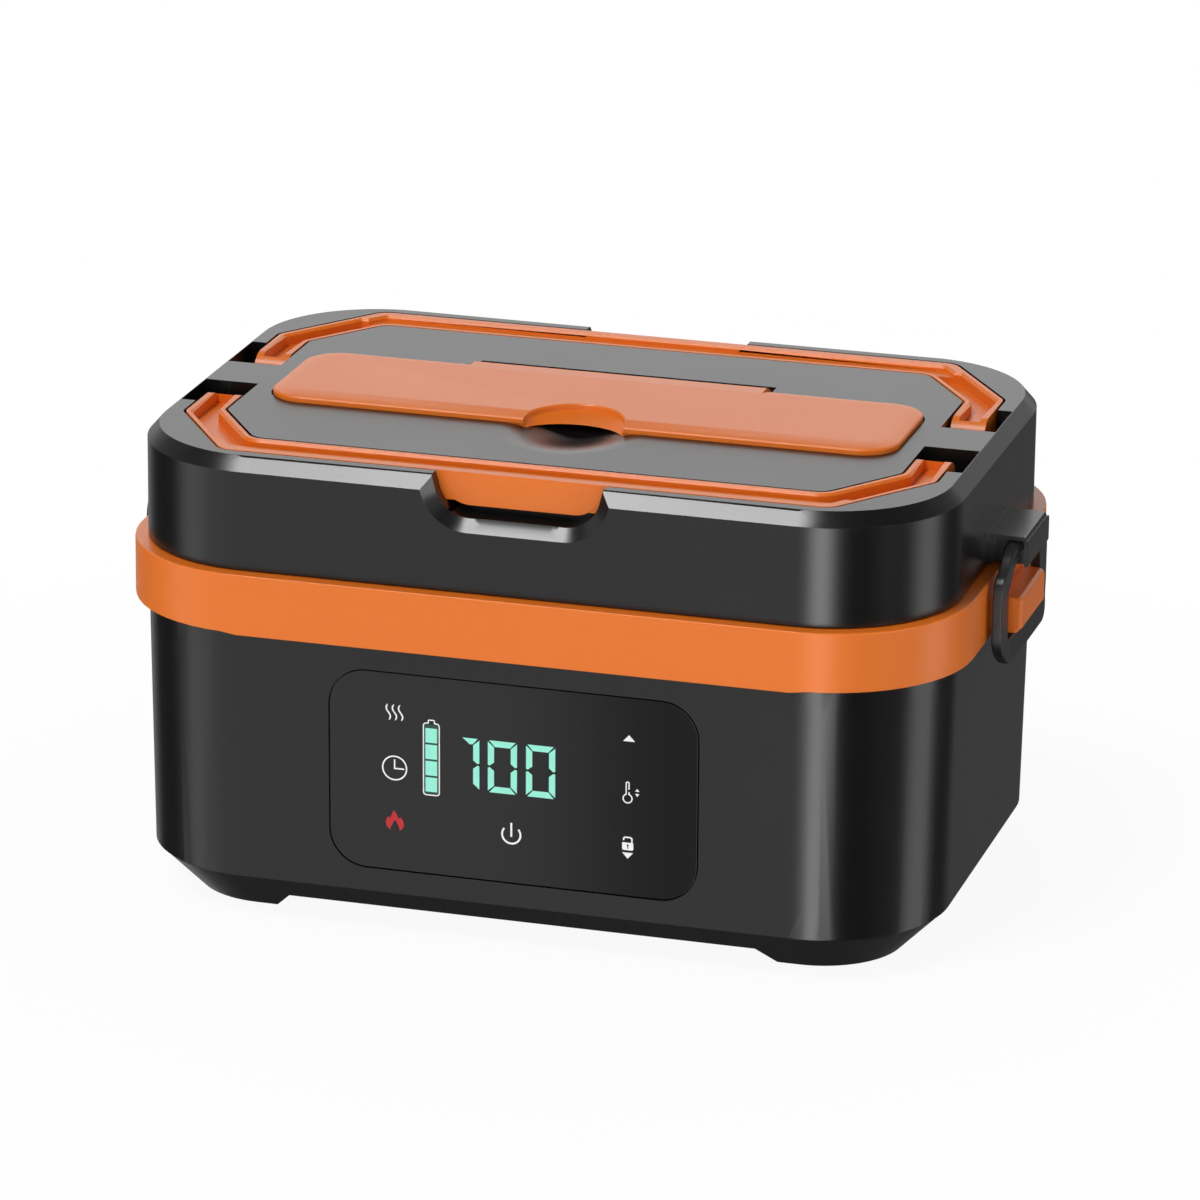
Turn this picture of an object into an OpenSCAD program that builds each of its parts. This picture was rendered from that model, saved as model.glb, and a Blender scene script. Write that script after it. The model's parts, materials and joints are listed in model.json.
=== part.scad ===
// Electric lunch box with a lift-off lid, two swing-up handles and a bail latch at each end.
// The origin is the centre of the footprint on the table: +X right, +Y back, +Z up. The front is -Y.
// Every outline in plan is a distance, called reach, from the same four corner centres.

/* [Outline in plan] */
// Length of the trim band, the longest part of the body
band_length = 250; // [235:1:280]
// Depth of the trim band from front to back
band_depth = 174.4; // [165:0.2:200]
// Corner radius of the trim band
band_radius = 43; // [40:0.5:50]
// Step from the band in to the lid wall
lid_step = 3.8; // [3:0.1:4.6]
// Step from the band in to the top of the base wall
base_step = 4; // [3.2:0.1:4.6]
// How far the base wall leans in on its way down
base_draft = 1.2; // [0.5:0.1:2.5]
// How far the plinth slopes in below the crease
plinth_slope = 13.1; // [8:0.1:16]

/* [Heights] */
// How far the rubber pads stand below the feet
pad_drop = 0.6; // [0.3:0.1:1.5]
// Height of the corner feet, which is the arch between them
foot_height = 5.4; // [4.6:0.1:8]
// Height of the plinth from its feet to the crease
plinth_height = 12.9; // [11:0.1:18]
// Height of the base wall from the crease to the band
wall_height = 76; // [74:1:100]
// Height of the trim band
band_height = 17.7; // [16:0.1:22]
// Dark gap between the band and the lid wall
lid_gap = 0.5; // [0.3:0.1:1]
// Height of the lid wall with its bevel
lid_height = 33.1; // [32:0.1:40]

/* [Shells] */
// Thickness of the moulded shells
shell = 2.6; // [2:0.1:2.8]
// Height of the bevel round the lid top
bevel_height = 4; // [2:0.1:5]
// Width of the bevel round the lid top
bevel_width = 3.5; // [2:0.1:5]
// Wall of the trim band
band_wall = 5.2; // [4.6:0.1:6]
// Clearance between pieces that push together
fit = 0.3; // [0.2:0.05:0.4]
// Height of the rim above the base wall
rim_height = 12; // [10:0.1:13]
// Seam between the base shell and the bottom cover
seam = 0.4; // [0.2:0.1:0.8]
// Half length of the straight foot arch at the front, at the table
arch_half = 76; // [60:1:80]
// How far the slanted foot ends lean in
arch_lean = 5.7; // [3:0.1:8]
// Half depth of the arch between the feet at each end
side_arch_half = 38; // [25:1:42]

/* [Control panel] */
// Width of the panel lens
panel_width = 109.8; // [100:0.1:120]
// Height of the panel lens
panel_height = 60.1; // [56:0.1:62]
// Corner radius of the panel lens
panel_radius = 11; // [6:0.5:14]
// Thickness of the panel lens
panel_thick = 1.8; // [1.2:0.1:2]
// Height of the panel's centre above the crease
panel_level = 37.4; // [35:0.1:40]
// Gap line round the panel lens
panel_gap = 0.4; // [0.2:0.05:0.6]
// Width of the lit display block
display_width = 84; // [70:1:90]
// Height of the lit display block
display_height = 44; // [34:1:46]
// Thickness of the display block
display_thick = 4; // [3:0.1:5]
// Thickness of the circuit boards
board_thick = 1.6; // [1:0.1:2]
// Width of the display board
board_width = 124; // [110:1:130]
// Height of the display board
board_height = 46; // [40:1:50]

/* [Food pot] */
// Reach of the well wall round the food pot
well_reach = 27.5; // [26:0.1:28]
// Wall of the well
well_wall = 2; // [1.5:0.1:2.4]
// Depth of the well below its flange
well_depth = 52; // [50:0.5:54]
// Side clearance between the pot and the well at the flange
pot_gap = 0.6; // [0.4:0.1:1]
// How far the pot wall leans in on its way down
pot_draft = 2.9; // [1:0.1:4]
// Wall of the food pot
pot_wall = 1; // [0.6:0.1:1.5]
// Height of the pot lid above the pot flange
pot_lid_height = 6.4; // [5:0.1:7]

/* [Heater] */
// Thickness of the heater plate
plate_thick = 3; // [2:0.1:4]
// Reach of the heater plate
plate_reach = 12; // [8:0.5:16]
// Length of the heating element
element_length = 120; // [90:1:140]
// Width of the heating element
element_width = 24; // [16:1:30]
// Thickness of the heating element
element_thick = 4; // [3.4:0.1:5]
// Thickness of the insulation sheet
insulation_thick = 3; // [2:0.1:3.5]
// Radius of the sensor's button
sensor_radius = 4.5; // [3:0.1:5]

/* [Battery] */
// Radius of a battery cell
cell_radius = 9.15; // [8.5:0.05:9.3]
// Length of a battery cell
cell_length = 65.2; // [60:0.1:66]
// Rows of battery cells
cell_rows = 3; // [2:1:3]
// Cells end to end in a row
cell_columns = 2; // [1:1:2]
// Wall of the battery holder
holder_wall = 2; // [1.5:0.1:2.5]

/* [Handles] */
// Width of the handle across its arms
handle_width = 224.6; // [220:0.2:226]
// Distance of the handle's outer edge from the middle
handle_reach = 75.5; // [74:0.1:75.5]
// Width of the grip bar
grip_width = 13; // [10:0.5:14]
// Width of a handle arm
arm_width = 10.3; // [9:0.1:11]
// Height of the handle section
handle_height = 8.5; // [7.5:0.1:9]
// Where the handle's arm turns towards the grip bar, outer edge
bend_depth = 42.8; // [40:0.1:44]
// Half length of the grip bar's outer edge
grip_half = 90; // [86:0.5:92]
// Distance of the handle pivots from the middle
pivot_depth = 24; // [23:0.1:25]
// Radius of the handle arm's round end
pivot_radius = 6; // [5.5:0.1:6.5]
// Gap round the handle in its recess
recess_gap = 0.8; // [0.6:0.1:1]
// Depth of the groove along the grip bar
groove_depth = 1.6; // [1:0.1:3]
// Wall beside the channel in a handle arm
channel_wall = 2; // [1.6:0.1:2.6]
// Depth of the channel in a handle arm
channel_depth = 3.6; // [2.4:0.1:4]
// Solid end of a handle arm beyond the channel
channel_end = 3; // [2:0.1:5]
// Width of the rims beside the groove in the grip bar
groove_rim = 3.75; // [3:0.05:4.5]
// Half width of the finger tab at the top
tab_half = 24; // [20:0.5:24.5]
// Height of the finger tab
tab_height = 9.4; // [9:0.1:10]
// Width of the open recess beside each handle arm
side_recess = 5.2; // [4:0.1:6]

/* [Finger notch] */
// Half width of the notch in the lid edge
notch_half = 25.2; // [24.9:0.1:28]
// Depth of the notch below the lid top
notch_depth = 12; // [11:0.1:14]
// Corner radius of the notch
notch_radius = 11.5; // [8:0.1:11.8]
// How far the notch flares out at the lid wall
notch_flare = 3.2; // [1:0.1:4]

/* [Cutlery cover] */
// Length of the cover at the lid top
cover_length = 189.6; // [180:0.2:192]
// Depth of the cover at the lid top
cover_depth = 49; // [46:0.1:50]
// Corner radius of the cover
cover_radius = 11; // [9:0.5:13]
// Height of the cover above the lid top
cover_rise = 2.5; // [2:0.1:3]
// Width of the sloping edge of the cover
cover_bevel = 6.5; // [4:0.1:7]
// How deep the cover sits in the lid
cover_sink = 1.4; // [1:0.1:2]
// Radius of the finger cut-out in the cover's front edge
cutout_radius = 15.2; // [12:0.1:16]
// How far behind the front edge the cut-out's centre lies
cutout_setback = 2.7; // [1:0.1:4]
// Width of the bevel round the cut-out
cutout_bevel = 1.5; // [0.5:0.1:2]
// Length of the cover's hinge tab
hinge_length = 90; // [60:1:110]
// Distance of the hinge axis from the middle
hinge_depth = 28.6; // [28:0.1:29.4]
// Depth of the hinge axis below the lid top
hinge_drop = 3; // [2.6:0.1:3.4]
// Radius of the hinge barrel
barrel_radius = 3.4; // [2.8:0.1:3.5]
// Radius of the hinge and pivot pins
pin_radius = 1.25; // [1:0.05:1.5]
// Running clearance round the pins
pin_clearance = 0.08; // [0.05:0.01:0.1]
// Depth of the cutlery compartment
cutlery_depth = 21; // [15:0.5:22]
// Depth of the finger scoop under the cut-out
scoop_depth = 5.4; // [3:0.1:6]
// Radius of the ball that cuts the finger scoop
scoop_ball = 36.8; // [30:0.1:45]
// Wall of the bowl that holds the finger scoop
scoop_wall = 2.4; // [2:0.1:3]

/* [Latches] */
// Half width of the latch bracket on the lid
bracket_half = 13.4; // [12:0.1:15]
// How far the bracket stands out from the lid wall
bracket_reach = 12.3; // [11.5:0.1:13]
// Height of the bracket
bracket_height = 9.6; // [9:0.1:12]
// Height of the bracket's underside above the lid wall's edge
bracket_level = 0.7; // [0.3:0.1:2]
// Half width of the latch bail
bail_half = 28.5; // [26:0.1:30]
// Width of a bail leg
leg_width = 8.5; // [6:0.1:9]
// Thickness of the bail
bail_thick = 3.1; // [2.5:0.1:3.4]
// Gap between the band and the bail
bail_gap = 2.3; // [1.5:0.1:3]
// Length of the bail from its pivot to the crossbar
bail_drop = 26.8; // [26:0.1:27.5]
// Height of the bail's crossbar
crossbar_height = 5.2; // [4:0.1:7]
// How far the crossbar kicks outward
crossbar_kick = 1.2; // [0.6:0.1:3]
// Chamfer on the bail's lower corners
bail_chamfer = 7.5; // [3:0.1:9]
// Half width of a catch on the band
catch_half = 15; // [12:0.1:16]
// How far a catch stands out from the band
catch_reach = 7.5; // [6.5:0.1:7.6]
// Height of a catch
catch_height = 11; // [9:0.1:11.5]
// Chamfer along the lower edge of a catch
catch_chamfer = 1.8; // [1.5:0.1:3]

/* [Charging inlet] */
// Distance of the inlet from the middle
inlet_offset = 62; // [50:1:70]
// Height of the inlet above the crease
inlet_level = 16; // [14:0.5:20]
// Radius of the inlet's bore
inlet_bore = 3.1; // [2.8:0.05:3.5]
// Length of the inlet's body
inlet_length = 14; // [10:0.5:15]
// Width and height of the rubber cover over the inlet
inlet_cover = 16; // [14:0.5:20]
// Thickness of the rubber cover
inlet_cover_thick = 1.4; // [1:0.1:2]
// Radius of the rubber cover's hinge barrel
inlet_hinge = 1; // [0.8:0.1:1.2]

/* [Hidden] */
$fn = 64;
// Overlap that keeps a cut clear of the face that it opens
cut = 1;
// Corner centres that every outline shares
corner_x = band_length / 2 - band_radius;
corner_y = band_depth / 2 - band_radius;
// Reaches of the outer surfaces
lid_reach = band_radius - lid_step;
top_reach = lid_reach - bevel_width;
base_reach = band_radius - base_step;
crease_reach = base_reach - base_draft;
foot_reach = crease_reach - plinth_slope;
rim_reach = band_radius - band_wall - fit;
// Levels of the outer surfaces
foot_z = pad_drop;
arch_z = foot_z + foot_height;
crease_z = foot_z + plinth_height;
band_z = crease_z + wall_height;
band_top = band_z + band_height;
lid_z = band_top + lid_gap;
top_z = lid_z + lid_height;
bevel_z = top_z - bevel_height;
rim_z = band_z + rim_height;
floor_top = arch_z + shell;
// The well and the pot
ledge_z = band_z + 2;
ledge_thick = 4;
flange_thick = 2;
well_top = ledge_z + flange_thick;
well_floor = well_top - well_depth;
well_under = well_floor - well_wall;
inside_reach = rim_reach - shell;
plate_top = well_floor + plate_thick;
pot_top_reach = well_reach - well_wall - pot_gap;
pot_low_reach = pot_top_reach - pot_draft;
pot_foot = plate_top + fit;
pot_rim_thick = 1.2;
pot_rim = well_top + pot_rim_thick;
seal_thick = 1.6;
// The hidden boards and the battery
draft_angle = atan(base_draft / wall_height);
board_setback = panel_thick + 0.4 + display_thick;
boss_radius = 3.4;
screw_radius = 1.5;
screw_offset = 17;
// Places of the display board's posts and of the lid liner's screws
post_x = board_width / 2 - 6;
post_y = board_height / 2 - 5;
lid_screw_x = 60;
lid_screw_y = corner_y + 4.8;
lid_screw_end = corner_x + 14;
boss_height = 22;
cell_pitch_y = 2 * cell_radius + 1.4;
cell_pitch_x = cell_length + 2;
battery_x = -22;
cell_z = floor_top + holder_wall + cell_radius + fit;
power_x = 78;
power_length = 46;
power_depth = 66;
power_z = floor_top + 6;
power_post = 5;
element_z = well_floor - element_thick;
insulation_z = element_z - insulation_thick;
sensor_y = corner_y - 12.2;
vent_x = 40;
vent_radius = 4;
// The lid's recesses
pivot_z = top_z - pivot_radius;
bar_inner = handle_reach - grip_width;
arm_outer = handle_width / 2;
arm_inner = arm_outer - arm_width;
recess_z = top_z - max(handle_height, tab_height) - 0.6;
pivot_recess_z = pivot_z - pivot_radius - 0.7;
recess_floor = 2.2;
cover_x = cover_length / 2 - cover_radius;
cover_y = cover_depth / 2 - cover_radius;
cover_z = top_z - cover_sink;
cover_top = top_z + cover_rise;
cover_gap = 0.5;
hinge_z = top_z - hinge_drop;
cutlery_margin = 6;
cutlery_x = cover_x + cover_radius - cutlery_margin;
cutlery_y = cover_depth / 2 - cutlery_margin;
cutlery_z = top_z - cutlery_depth;
cutout_y = -cover_depth / 2 + cutout_setback;
bowl_radius = cutout_radius + 1.6 + scoop_wall;
hinge_recess_back = hinge_depth + hinge_drop + cover_rise + 0.2;
hinge_recess_front = hinge_depth - barrel_radius - 0.5;
// The liner that closes the lid from below
liner_z = lid_z + 1.2;
liner_thick = 2;
liner_reach = lid_reach - shell - fit;
tongue_outer = liner_reach;
tongue_wall = 2.4;
tongue_inner = tongue_outer - tongue_wall;
tongue_z = rim_z + seal_thick + 0.3;
// The latches
band_end = band_length / 2;
wall_end = corner_x + lid_reach;
bracket_end = wall_end + bracket_reach;
bracket_z = lid_z + bracket_level;
bail_inner = band_end + bail_gap;
bail_pivot_x = bail_inner + bail_thick / 2;
bail_pivot_z = bracket_z + bracket_height / 2;
bail_hub = 3.6;
crossbar_z = bail_pivot_z - bail_drop - crossbar_height;
catch_z = band_z - 1;
inlet_recess = 1;
inlet_body = 5;
inlet_seat = 8;
inlet_hinge_z = inlet_hinge - inlet_recess + 0.1;

// Colours
black = [0.13, 0.13, 0.14];
dark = [0.2, 0.2, 0.21];
grey = [0.45, 0.45, 0.45];
orange = [0.91, 0.42, 0.16];
steel = [0.75, 0.76, 0.78];
board_green = [0.1, 0.4, 0.25];
pale = [0.85, 0.86, 0.84];

// ---- Outlines ----

// Rounded rectangle at a reach from corner centres at x, y
module outline(reach, x = corner_x, y = corner_y) {
  square([2 * (x + reach), 2 * y], center = true);
  square([2 * x, 2 * (y + reach)], center = true);
  for (sx = [-1, 1], sy = [-1, 1]) translate([sx * x, sy * y]) circle(reach);
}

// Flat slab of that outline between two levels
module slab(reach, low, high, x = corner_x, y = corner_y) {
  translate([0, 0, low]) linear_extrude(high - low) outline(reach, x, y);
}

// The same outline with its reach changing evenly from one level to the next
module taper(reach_low, reach_high, low, high, x = corner_x, y = corner_y) {
  for (sx = [-1, 1], sy = [-1, 1]) translate([sx * x, sy * y, low])
    cylinder(h = high - low, r1 = reach_low, r2 = reach_high);
  translate([0, y, 0]) rotate([90, 0, 0]) linear_extrude(2 * y)
    polygon([[-x - reach_low, low], [x + reach_low, low], [x + reach_high, high], [-x - reach_high, high]]);
  translate([-x, 0, 0]) rotate([90, 0, 90]) linear_extrude(2 * x)
    polygon([[-y - reach_low, low], [y + reach_low, low], [y + reach_high, high], [-y - reach_high, high]]);
}

function unit(v) = v / norm(v);
// Turn of an outline at corner b, positive to the left
function turn(a, b, c) = sign((b.x - a.x) * (c.y - b.y) - (b.y - a.y) * (c.x - b.x));
// Arc that rounds corner b of the path a, b, c to radius r
function corner_arc(a, b, c, r, steps = 6) =
  let (u = unit([a.x - b.x, a.y - b.y]), v = unit([c.x - b.x, c.y - b.y]),
    half_angle = acos(u * v) / 2, centre = [b.x, b.y] + unit(u + v) * r / sin(half_angle),
    start = [b.x, b.y] + u * r / tan(half_angle) - centre, side = turn(a, b, c),
    swing = (180 - 2 * half_angle) * side)
  [for (i = [0:steps]) let (w = swing * i / steps)
    centre + [start.x * cos(w) - start.y * sin(w), start.x * sin(w) + start.y * cos(w)]];
// Outline through corners [x, y, radius]
function rounded(path) = let (n = len(path))
  [for (i = [0:n - 1]) let (a = path[(i + n - 1) % n], b = path[i], c = path[(i + 1) % n])
    each b.z > 0 ? corner_arc(a, b, c, b.z) : [[b.x, b.y]]];
// The same corners with every edge moved out by d, for a path that runs anticlockwise
function grown(path, d) = let (n = len(path))
  [for (i = [0:n - 1]) let (a = path[(i + n - 1) % n], b = path[i], c = path[(i + 1) % n],
    u = unit([b.x - a.x, b.y - a.y]), v = unit([c.x - b.x, c.y - b.y]),
    m = [u.y + v.y, -u.x - v.x], k = d / (1 + u * v))
    [b.x + m.x * k, b.y + m.y * k, b.z > 0 ? max(b.z + d * turn(a, b, c), 0.2) : 0]];

// ---- Places ----

// Puts its children on the front wall: x right, y up from the crease, z outward
module on_front_wall() {
  translate([0, -corner_y - crease_reach, crease_z]) rotate([90 + draft_angle, 0, 0]) children();
}

// Puts its children on the rear wall, seen from behind: x left, y up from the crease, z outward
module on_rear_wall() {
  translate([0, corner_y + crease_reach, crease_z]) rotate([90 + draft_angle, 0, 180]) children();
}

// Repeats its children at the bottom cover's screws, with their own x pointing out through the corner
module at_base_screws() {
  for (sx = [-1, 1], sy = [-1, 1])
    translate([sx * corner_x, sy * corner_y, 0]) rotate(atan2(sy, sx)) translate([screw_offset, 0, 0])
      children();
}

// Repeats its children at the places of the lid liner's screws
module at_lid_screws() {
  for (sx = [-1, 1], sy = [-1, 1]) translate([sx * lid_screw_x, sy * lid_screw_y, 0]) children();
  for (sx = [-1, 1]) translate([sx * lid_screw_end, 0, 0]) children();
}

// Repeats its children at the front and rear, mirrored
module front_and_rear() {
  children();
  mirror([0, 1, 0]) children();
}

// Repeats its children at both ends, mirrored
module both_ends() {
  children();
  mirror([1, 0, 0]) children();
}

// ---- Base ----

// Posts on the inside of the base wall that carry the display board
module board_posts() {
  for (sx = [-1, 1], sy = [-1, 1]) translate([sx * post_x, panel_level + sy * post_y, -board_setback])
    cylinder(h = board_setback - panel_thick, r = boss_radius);
}

module base_shell() {
  color(black) difference() {
    union() {
      difference() {
        union() {
          taper(crease_reach, base_reach, crease_z, band_z);
          slab(rim_reach, band_z - cut, rim_z);
        }
        taper(crease_reach - shell, base_reach - shell, crease_z - 0.01, band_z);
      }
      slab(inside_reach + shell / 2, ledge_z - ledge_thick, ledge_z);
      difference() {
        slab(base_reach - shell / 2, band_z - 2, band_z);
        slab(rim_reach - 0.8, band_z - 2 - cut, band_z + cut);
      }
      on_front_wall() board_posts();
      // Bosses that take the bottom cover's screws, each with a rib to the corner wall
      at_base_screws() {
        translate([0, 0, floor_top + 0.2]) cylinder(h = boss_height, r = boss_radius + 0.8);
        translate([0, -1, crease_z])
          cube([crease_reach - shell / 2 - screw_offset, 2, boss_height - crease_z + floor_top]);
      }
      // Seat of the charging inlet
      on_rear_wall() translate([-inlet_offset, inlet_level, -shell - 4])
        cylinder(h = shell + 4, r = inlet_seat);
    }
    slab(inside_reach, ledge_z, rim_z + cut);
    slab(well_reach + fit, ledge_z - ledge_thick - cut, rim_z);
    at_base_screws() translate([0, 0, floor_top - cut]) cylinder(h = 14, r = screw_radius);
    on_front_wall() {
      translate([0, panel_level, -panel_thick]) linear_extrude(panel_thick + cut)
        outline(panel_radius + panel_gap, panel_width / 2 - panel_radius, panel_height / 2 - panel_radius);
      translate([0, panel_level, -shell - cut]) linear_extrude(shell + cut)
        square([display_width + 2, display_height + 2], center = true);
    }
    on_rear_wall() translate([-inlet_offset, inlet_level, 0]) {
      translate([0, 0, -shell - 5]) cylinder(h = shell + 6, r = inlet_body + fit);
      translate([-inlet_cover / 2 - fit, -inlet_cover / 2 - fit, -inlet_recess])
        cube([inlet_cover + 2 * fit, inlet_cover + 3 * inlet_hinge + 2 * fit, inlet_recess + cut]);
    }
  }
}

// Wedge-ended cut that leaves the feet standing on both sides of an arch
module arch_cut(half, depth) {
  translate([0, depth, 0]) rotate([90, 0, 0]) linear_extrude(2 * depth)
    polygon([[-half - arch_lean, -foot_height], [half + arch_lean, -foot_height],
      [half - arch_lean, arch_z], [-half + arch_lean, arch_z]]);
}

module bottom_cover() {
  floor_reach = foot_reach + plinth_slope * (floor_top - foot_z) / plinth_height;
  inset = shell * sqrt(2);
  color(black) difference() {
    union() {
      difference() {
        taper(foot_reach, crease_reach - seam, foot_z, crease_z);
        taper(floor_reach - inset, crease_reach - inset, floor_top, crease_z + 0.01);
      }
      translate([power_x, 0, 0]) for (sx = [-1, 1], sy = [-1, 1])
        translate([sx * (power_length / 2 - power_post), sy * (power_depth / 2 - power_post),
          floor_top - cut])
          cylinder(h = power_z - floor_top + cut, r = boss_radius);
    }
    arch_cut(arch_half, band_depth / 2);
    rotate([0, 0, 90]) arch_cut(side_arch_half, band_length / 2);
    at_base_screws() {
      cylinder(h = floor_top + cut, r = screw_radius + fit);
      cylinder(h = foot_z + 5.4, r = screw_radius * 2 + fit);
    }
    at_foot_pads() translate([0, 0, foot_z - cut]) cylinder(h = 1 + cut, r = 6.2);
  }
}

module at_foot_pads() {
  for (sx = [-1, 1], sy = [-1, 1]) translate([sx * (corner_x + 1), sy * corner_y, 0]) children();
}

module foot_pads() {
  color(dark) at_foot_pads() cylinder(h = pad_drop + 1, r = 6);
}

module base_screws() {
  color(steel) at_base_screws() {
    translate([0, 0, foot_z + 3.6]) cylinder(h = 1.8, r = screw_radius * 2);
    translate([0, 0, foot_z + 5]) cylinder(h = 15, r = screw_radius);
  }
}

module trim_band() {
  color(orange) difference() {
    union() {
      slab(band_radius, band_z, band_top - 0.7);
      taper(band_radius, band_radius - 0.9, band_top - 0.7, band_top);
    }
    slab(rim_reach + fit, band_z - cut, band_top + cut);
  }
}

// Catch block on one end of the band, seen from the front
module catch_block() {
  translate([band_end, catch_half, 0]) rotate([90, 0, 0]) linear_extrude(2 * catch_half)
    polygon(rounded([[0, catch_z, 0], [catch_reach - catch_chamfer, catch_z, 0],
      [catch_reach, catch_z + catch_chamfer, 0], [catch_reach, catch_z + catch_height, 1],
      [0, catch_z + catch_height, 0]]));
}

module latch_catches() {
  color(orange) both_ends() catch_block();
}

module control_panel() {
  color(dark) on_front_wall() translate([0, panel_level, -panel_thick]) linear_extrude(panel_thick)
    outline(panel_radius, panel_width / 2 - panel_radius, panel_height / 2 - panel_radius);
}

module digit_display() {
  color(pale) on_front_wall() translate([0, panel_level, -board_setback]) linear_extrude(display_thick)
    square([display_width, display_height], center = true);
}

module display_board() {
  color(board_green) on_front_wall() translate([0, panel_level, -board_setback - board_thick])
    linear_extrude(board_thick) square([board_width, board_height], center = true);
}

module power_board() {
  color(board_green) translate([power_x, 0, power_z]) {
    translate([-power_length / 2, -power_depth / 2, 0]) cube([power_length, power_depth, board_thick]);
    translate([-10, -14, board_thick]) cube([18, 16, 10]);
    translate([4, 20, board_thick]) cylinder(h = 10, r = 5);
    translate([-12, 20, board_thick]) cylinder(h = 8, r = 4);
  }
}

module at_cells() {
  for (i = [0:cell_columns - 1], j = [0:cell_rows - 1])
    translate([battery_x + (i - (cell_columns - 1) / 2) * cell_pitch_x,
      (j - (cell_rows - 1) / 2) * cell_pitch_y, cell_z]) children();
}

module battery_cells() {
  color("steelblue") at_cells() rotate([0, 90, 0]) cylinder(h = cell_length, r = cell_radius, center = true);
}

module battery_holder() {
  length = cell_columns * cell_pitch_x + 2 * holder_wall;
  depth = cell_rows * cell_pitch_y + 2 * holder_wall;
  color(dark) difference() {
    translate([battery_x - length / 2, -depth / 2, floor_top]) cube([length, depth, cell_z - floor_top + 3]);
    at_cells() {
      rotate([0, 90, 0]) cylinder(h = cell_length + 0.6, r = cell_radius + fit, center = true);
      translate([0, 0, cell_radius])
        cube([cell_length + 0.6, 2 * cell_radius + 2 * fit, 2 * cell_radius], center = true);
    }
  }
}

// ---- Well, heater and pot ----

module inner_well() {
  color(pale) difference() {
    union() {
      slab(inside_reach - fit, ledge_z, well_top);
      slab(well_reach, well_under, ledge_z + cut);
    }
    slab(well_reach - well_wall, well_floor, well_top + cut);
    translate([0, 0, well_under]) cube([element_length + 2, element_width + 2, 4 * well_wall], center = true);
    translate([0, sensor_y, well_under - cut]) cylinder(h = 4 * well_wall, r = sensor_radius + fit);
  }
}

module heater_plate() {
  color(steel) difference() {
    slab(plate_reach, well_floor, plate_top);
    translate([0, sensor_y, well_floor - cut]) cylinder(h = plate_thick + 2 * cut, r = sensor_radius + fit);
  }
}

module heater_element() {
  color(grey) translate([-element_length / 2, -element_width / 2, element_z])
    cube([element_length, element_width, element_thick]);
}

module insulation_sheet() {
  color(pale) slab(8, insulation_z, element_z);
}

module temperature_sensor() {
  color(grey) translate([0, sensor_y, element_z]) {
    cylinder(h = well_under - element_z, r = sensor_radius + 3);
    cylinder(h = plate_top - element_z, r = sensor_radius);
  }
}

module food_pot() {
  color(steel) difference() {
    union() {
      slab(inside_reach - 2, well_top, pot_rim);
      taper(pot_low_reach, pot_top_reach, pot_foot, well_top);
    }
    taper(pot_low_reach - pot_wall, pot_top_reach - pot_wall, pot_foot + pot_wall, well_top);
    slab(pot_top_reach - pot_wall, well_top - 0.01, pot_rim + cut);
  }
}

module pot_lid_seal() {
  color(pale) difference() {
    slab(pot_top_reach + 2, pot_rim, pot_rim + seal_thick);
    slab(pot_top_reach - 1.6, pot_rim - cut, pot_rim + seal_thick + cut);
  }
}

module pot_lid() {
  cap_z = pot_rim + seal_thick;
  color(pale) difference() {
    slab(inside_reach - 1.4, pot_rim + 0.3, pot_rim + pot_lid_height);
    slab(pot_top_reach + 2.2, pot_rim, cap_z);
    slab(pot_top_reach - 2, cap_z - cut, pot_rim + pot_lid_height - 2);
    translate([vent_x, 0, cap_z]) cylinder(h = pot_lid_height, r = vent_radius + fit);
    slab(pot_top_reach - 12, pot_rim + pot_lid_height - 1, pot_rim + pot_lid_height + cut);
  }
}

module vent_plug() {
  color(grey) translate([vent_x, 0, pot_rim + pot_lid_height - 2.8]) {
    cylinder(h = 2, r = vent_radius);
    translate([0, 0, 1.8]) cylinder(h = 1.6, r = vent_radius + 2);
  }
}

// ---- Charging inlet ----

module charge_socket() {
  color(black) on_rear_wall() translate([-inlet_offset, inlet_level, -inlet_recess]) {
    difference() {
      translate([0, 0, -inlet_length]) cylinder(h = inlet_length - fit, r = inlet_body);
      translate([0, 0, -inlet_length + 3]) cylinder(h = inlet_length, r = inlet_bore);
    }
    translate([0, 0, -inlet_length + 2]) cylinder(h = inlet_length - 4, r = 1);
  }
}

module charge_cover() {
  color(dark) on_rear_wall() translate([-inlet_offset - inlet_cover / 2, inlet_level - inlet_cover / 2, 0]) {
    translate([0, 0, inlet_hinge_z - inlet_hinge]) cube([inlet_cover, inlet_cover, inlet_cover_thick]);
    translate([0, inlet_cover - 1, inlet_hinge_z - inlet_hinge])
      cube([inlet_cover, inlet_hinge + 2, inlet_hinge]);
    translate([0, inlet_cover + inlet_hinge + 0.6, inlet_hinge_z]) rotate([0, 90, 0])
      cylinder(h = inlet_cover, r = inlet_hinge);
  }
}

// ---- Lid ----

// Corners of the rear handle in plan, anticlockwise, moved out by d
function handle_corners() = let (slope = (handle_reach - bend_depth) / (arm_outer - grip_half),
    inner_bend = bend_depth - 4.9, inner_half = arm_inner - (bar_inner - inner_bend) / slope,
    end_y = pivot_depth - pivot_radius)
  [[arm_inner, end_y, 0], [arm_outer, end_y, 0], [arm_outer, bend_depth, 4],
    [grip_half, handle_reach, 6], [-grip_half, handle_reach, 6], [-arm_outer, bend_depth, 4],
    [-arm_outer, end_y, 0], [-arm_inner, end_y, 0], [-arm_inner, inner_bend, 4],
    [-inner_half, bar_inner, 6], [inner_half, bar_inner, 6], [arm_inner, inner_bend, 4]];

// Plan of the handle grown by d
module handle_plan(d = 0) {
  polygon(rounded(grown(handle_corners(), d)));
}

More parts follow.
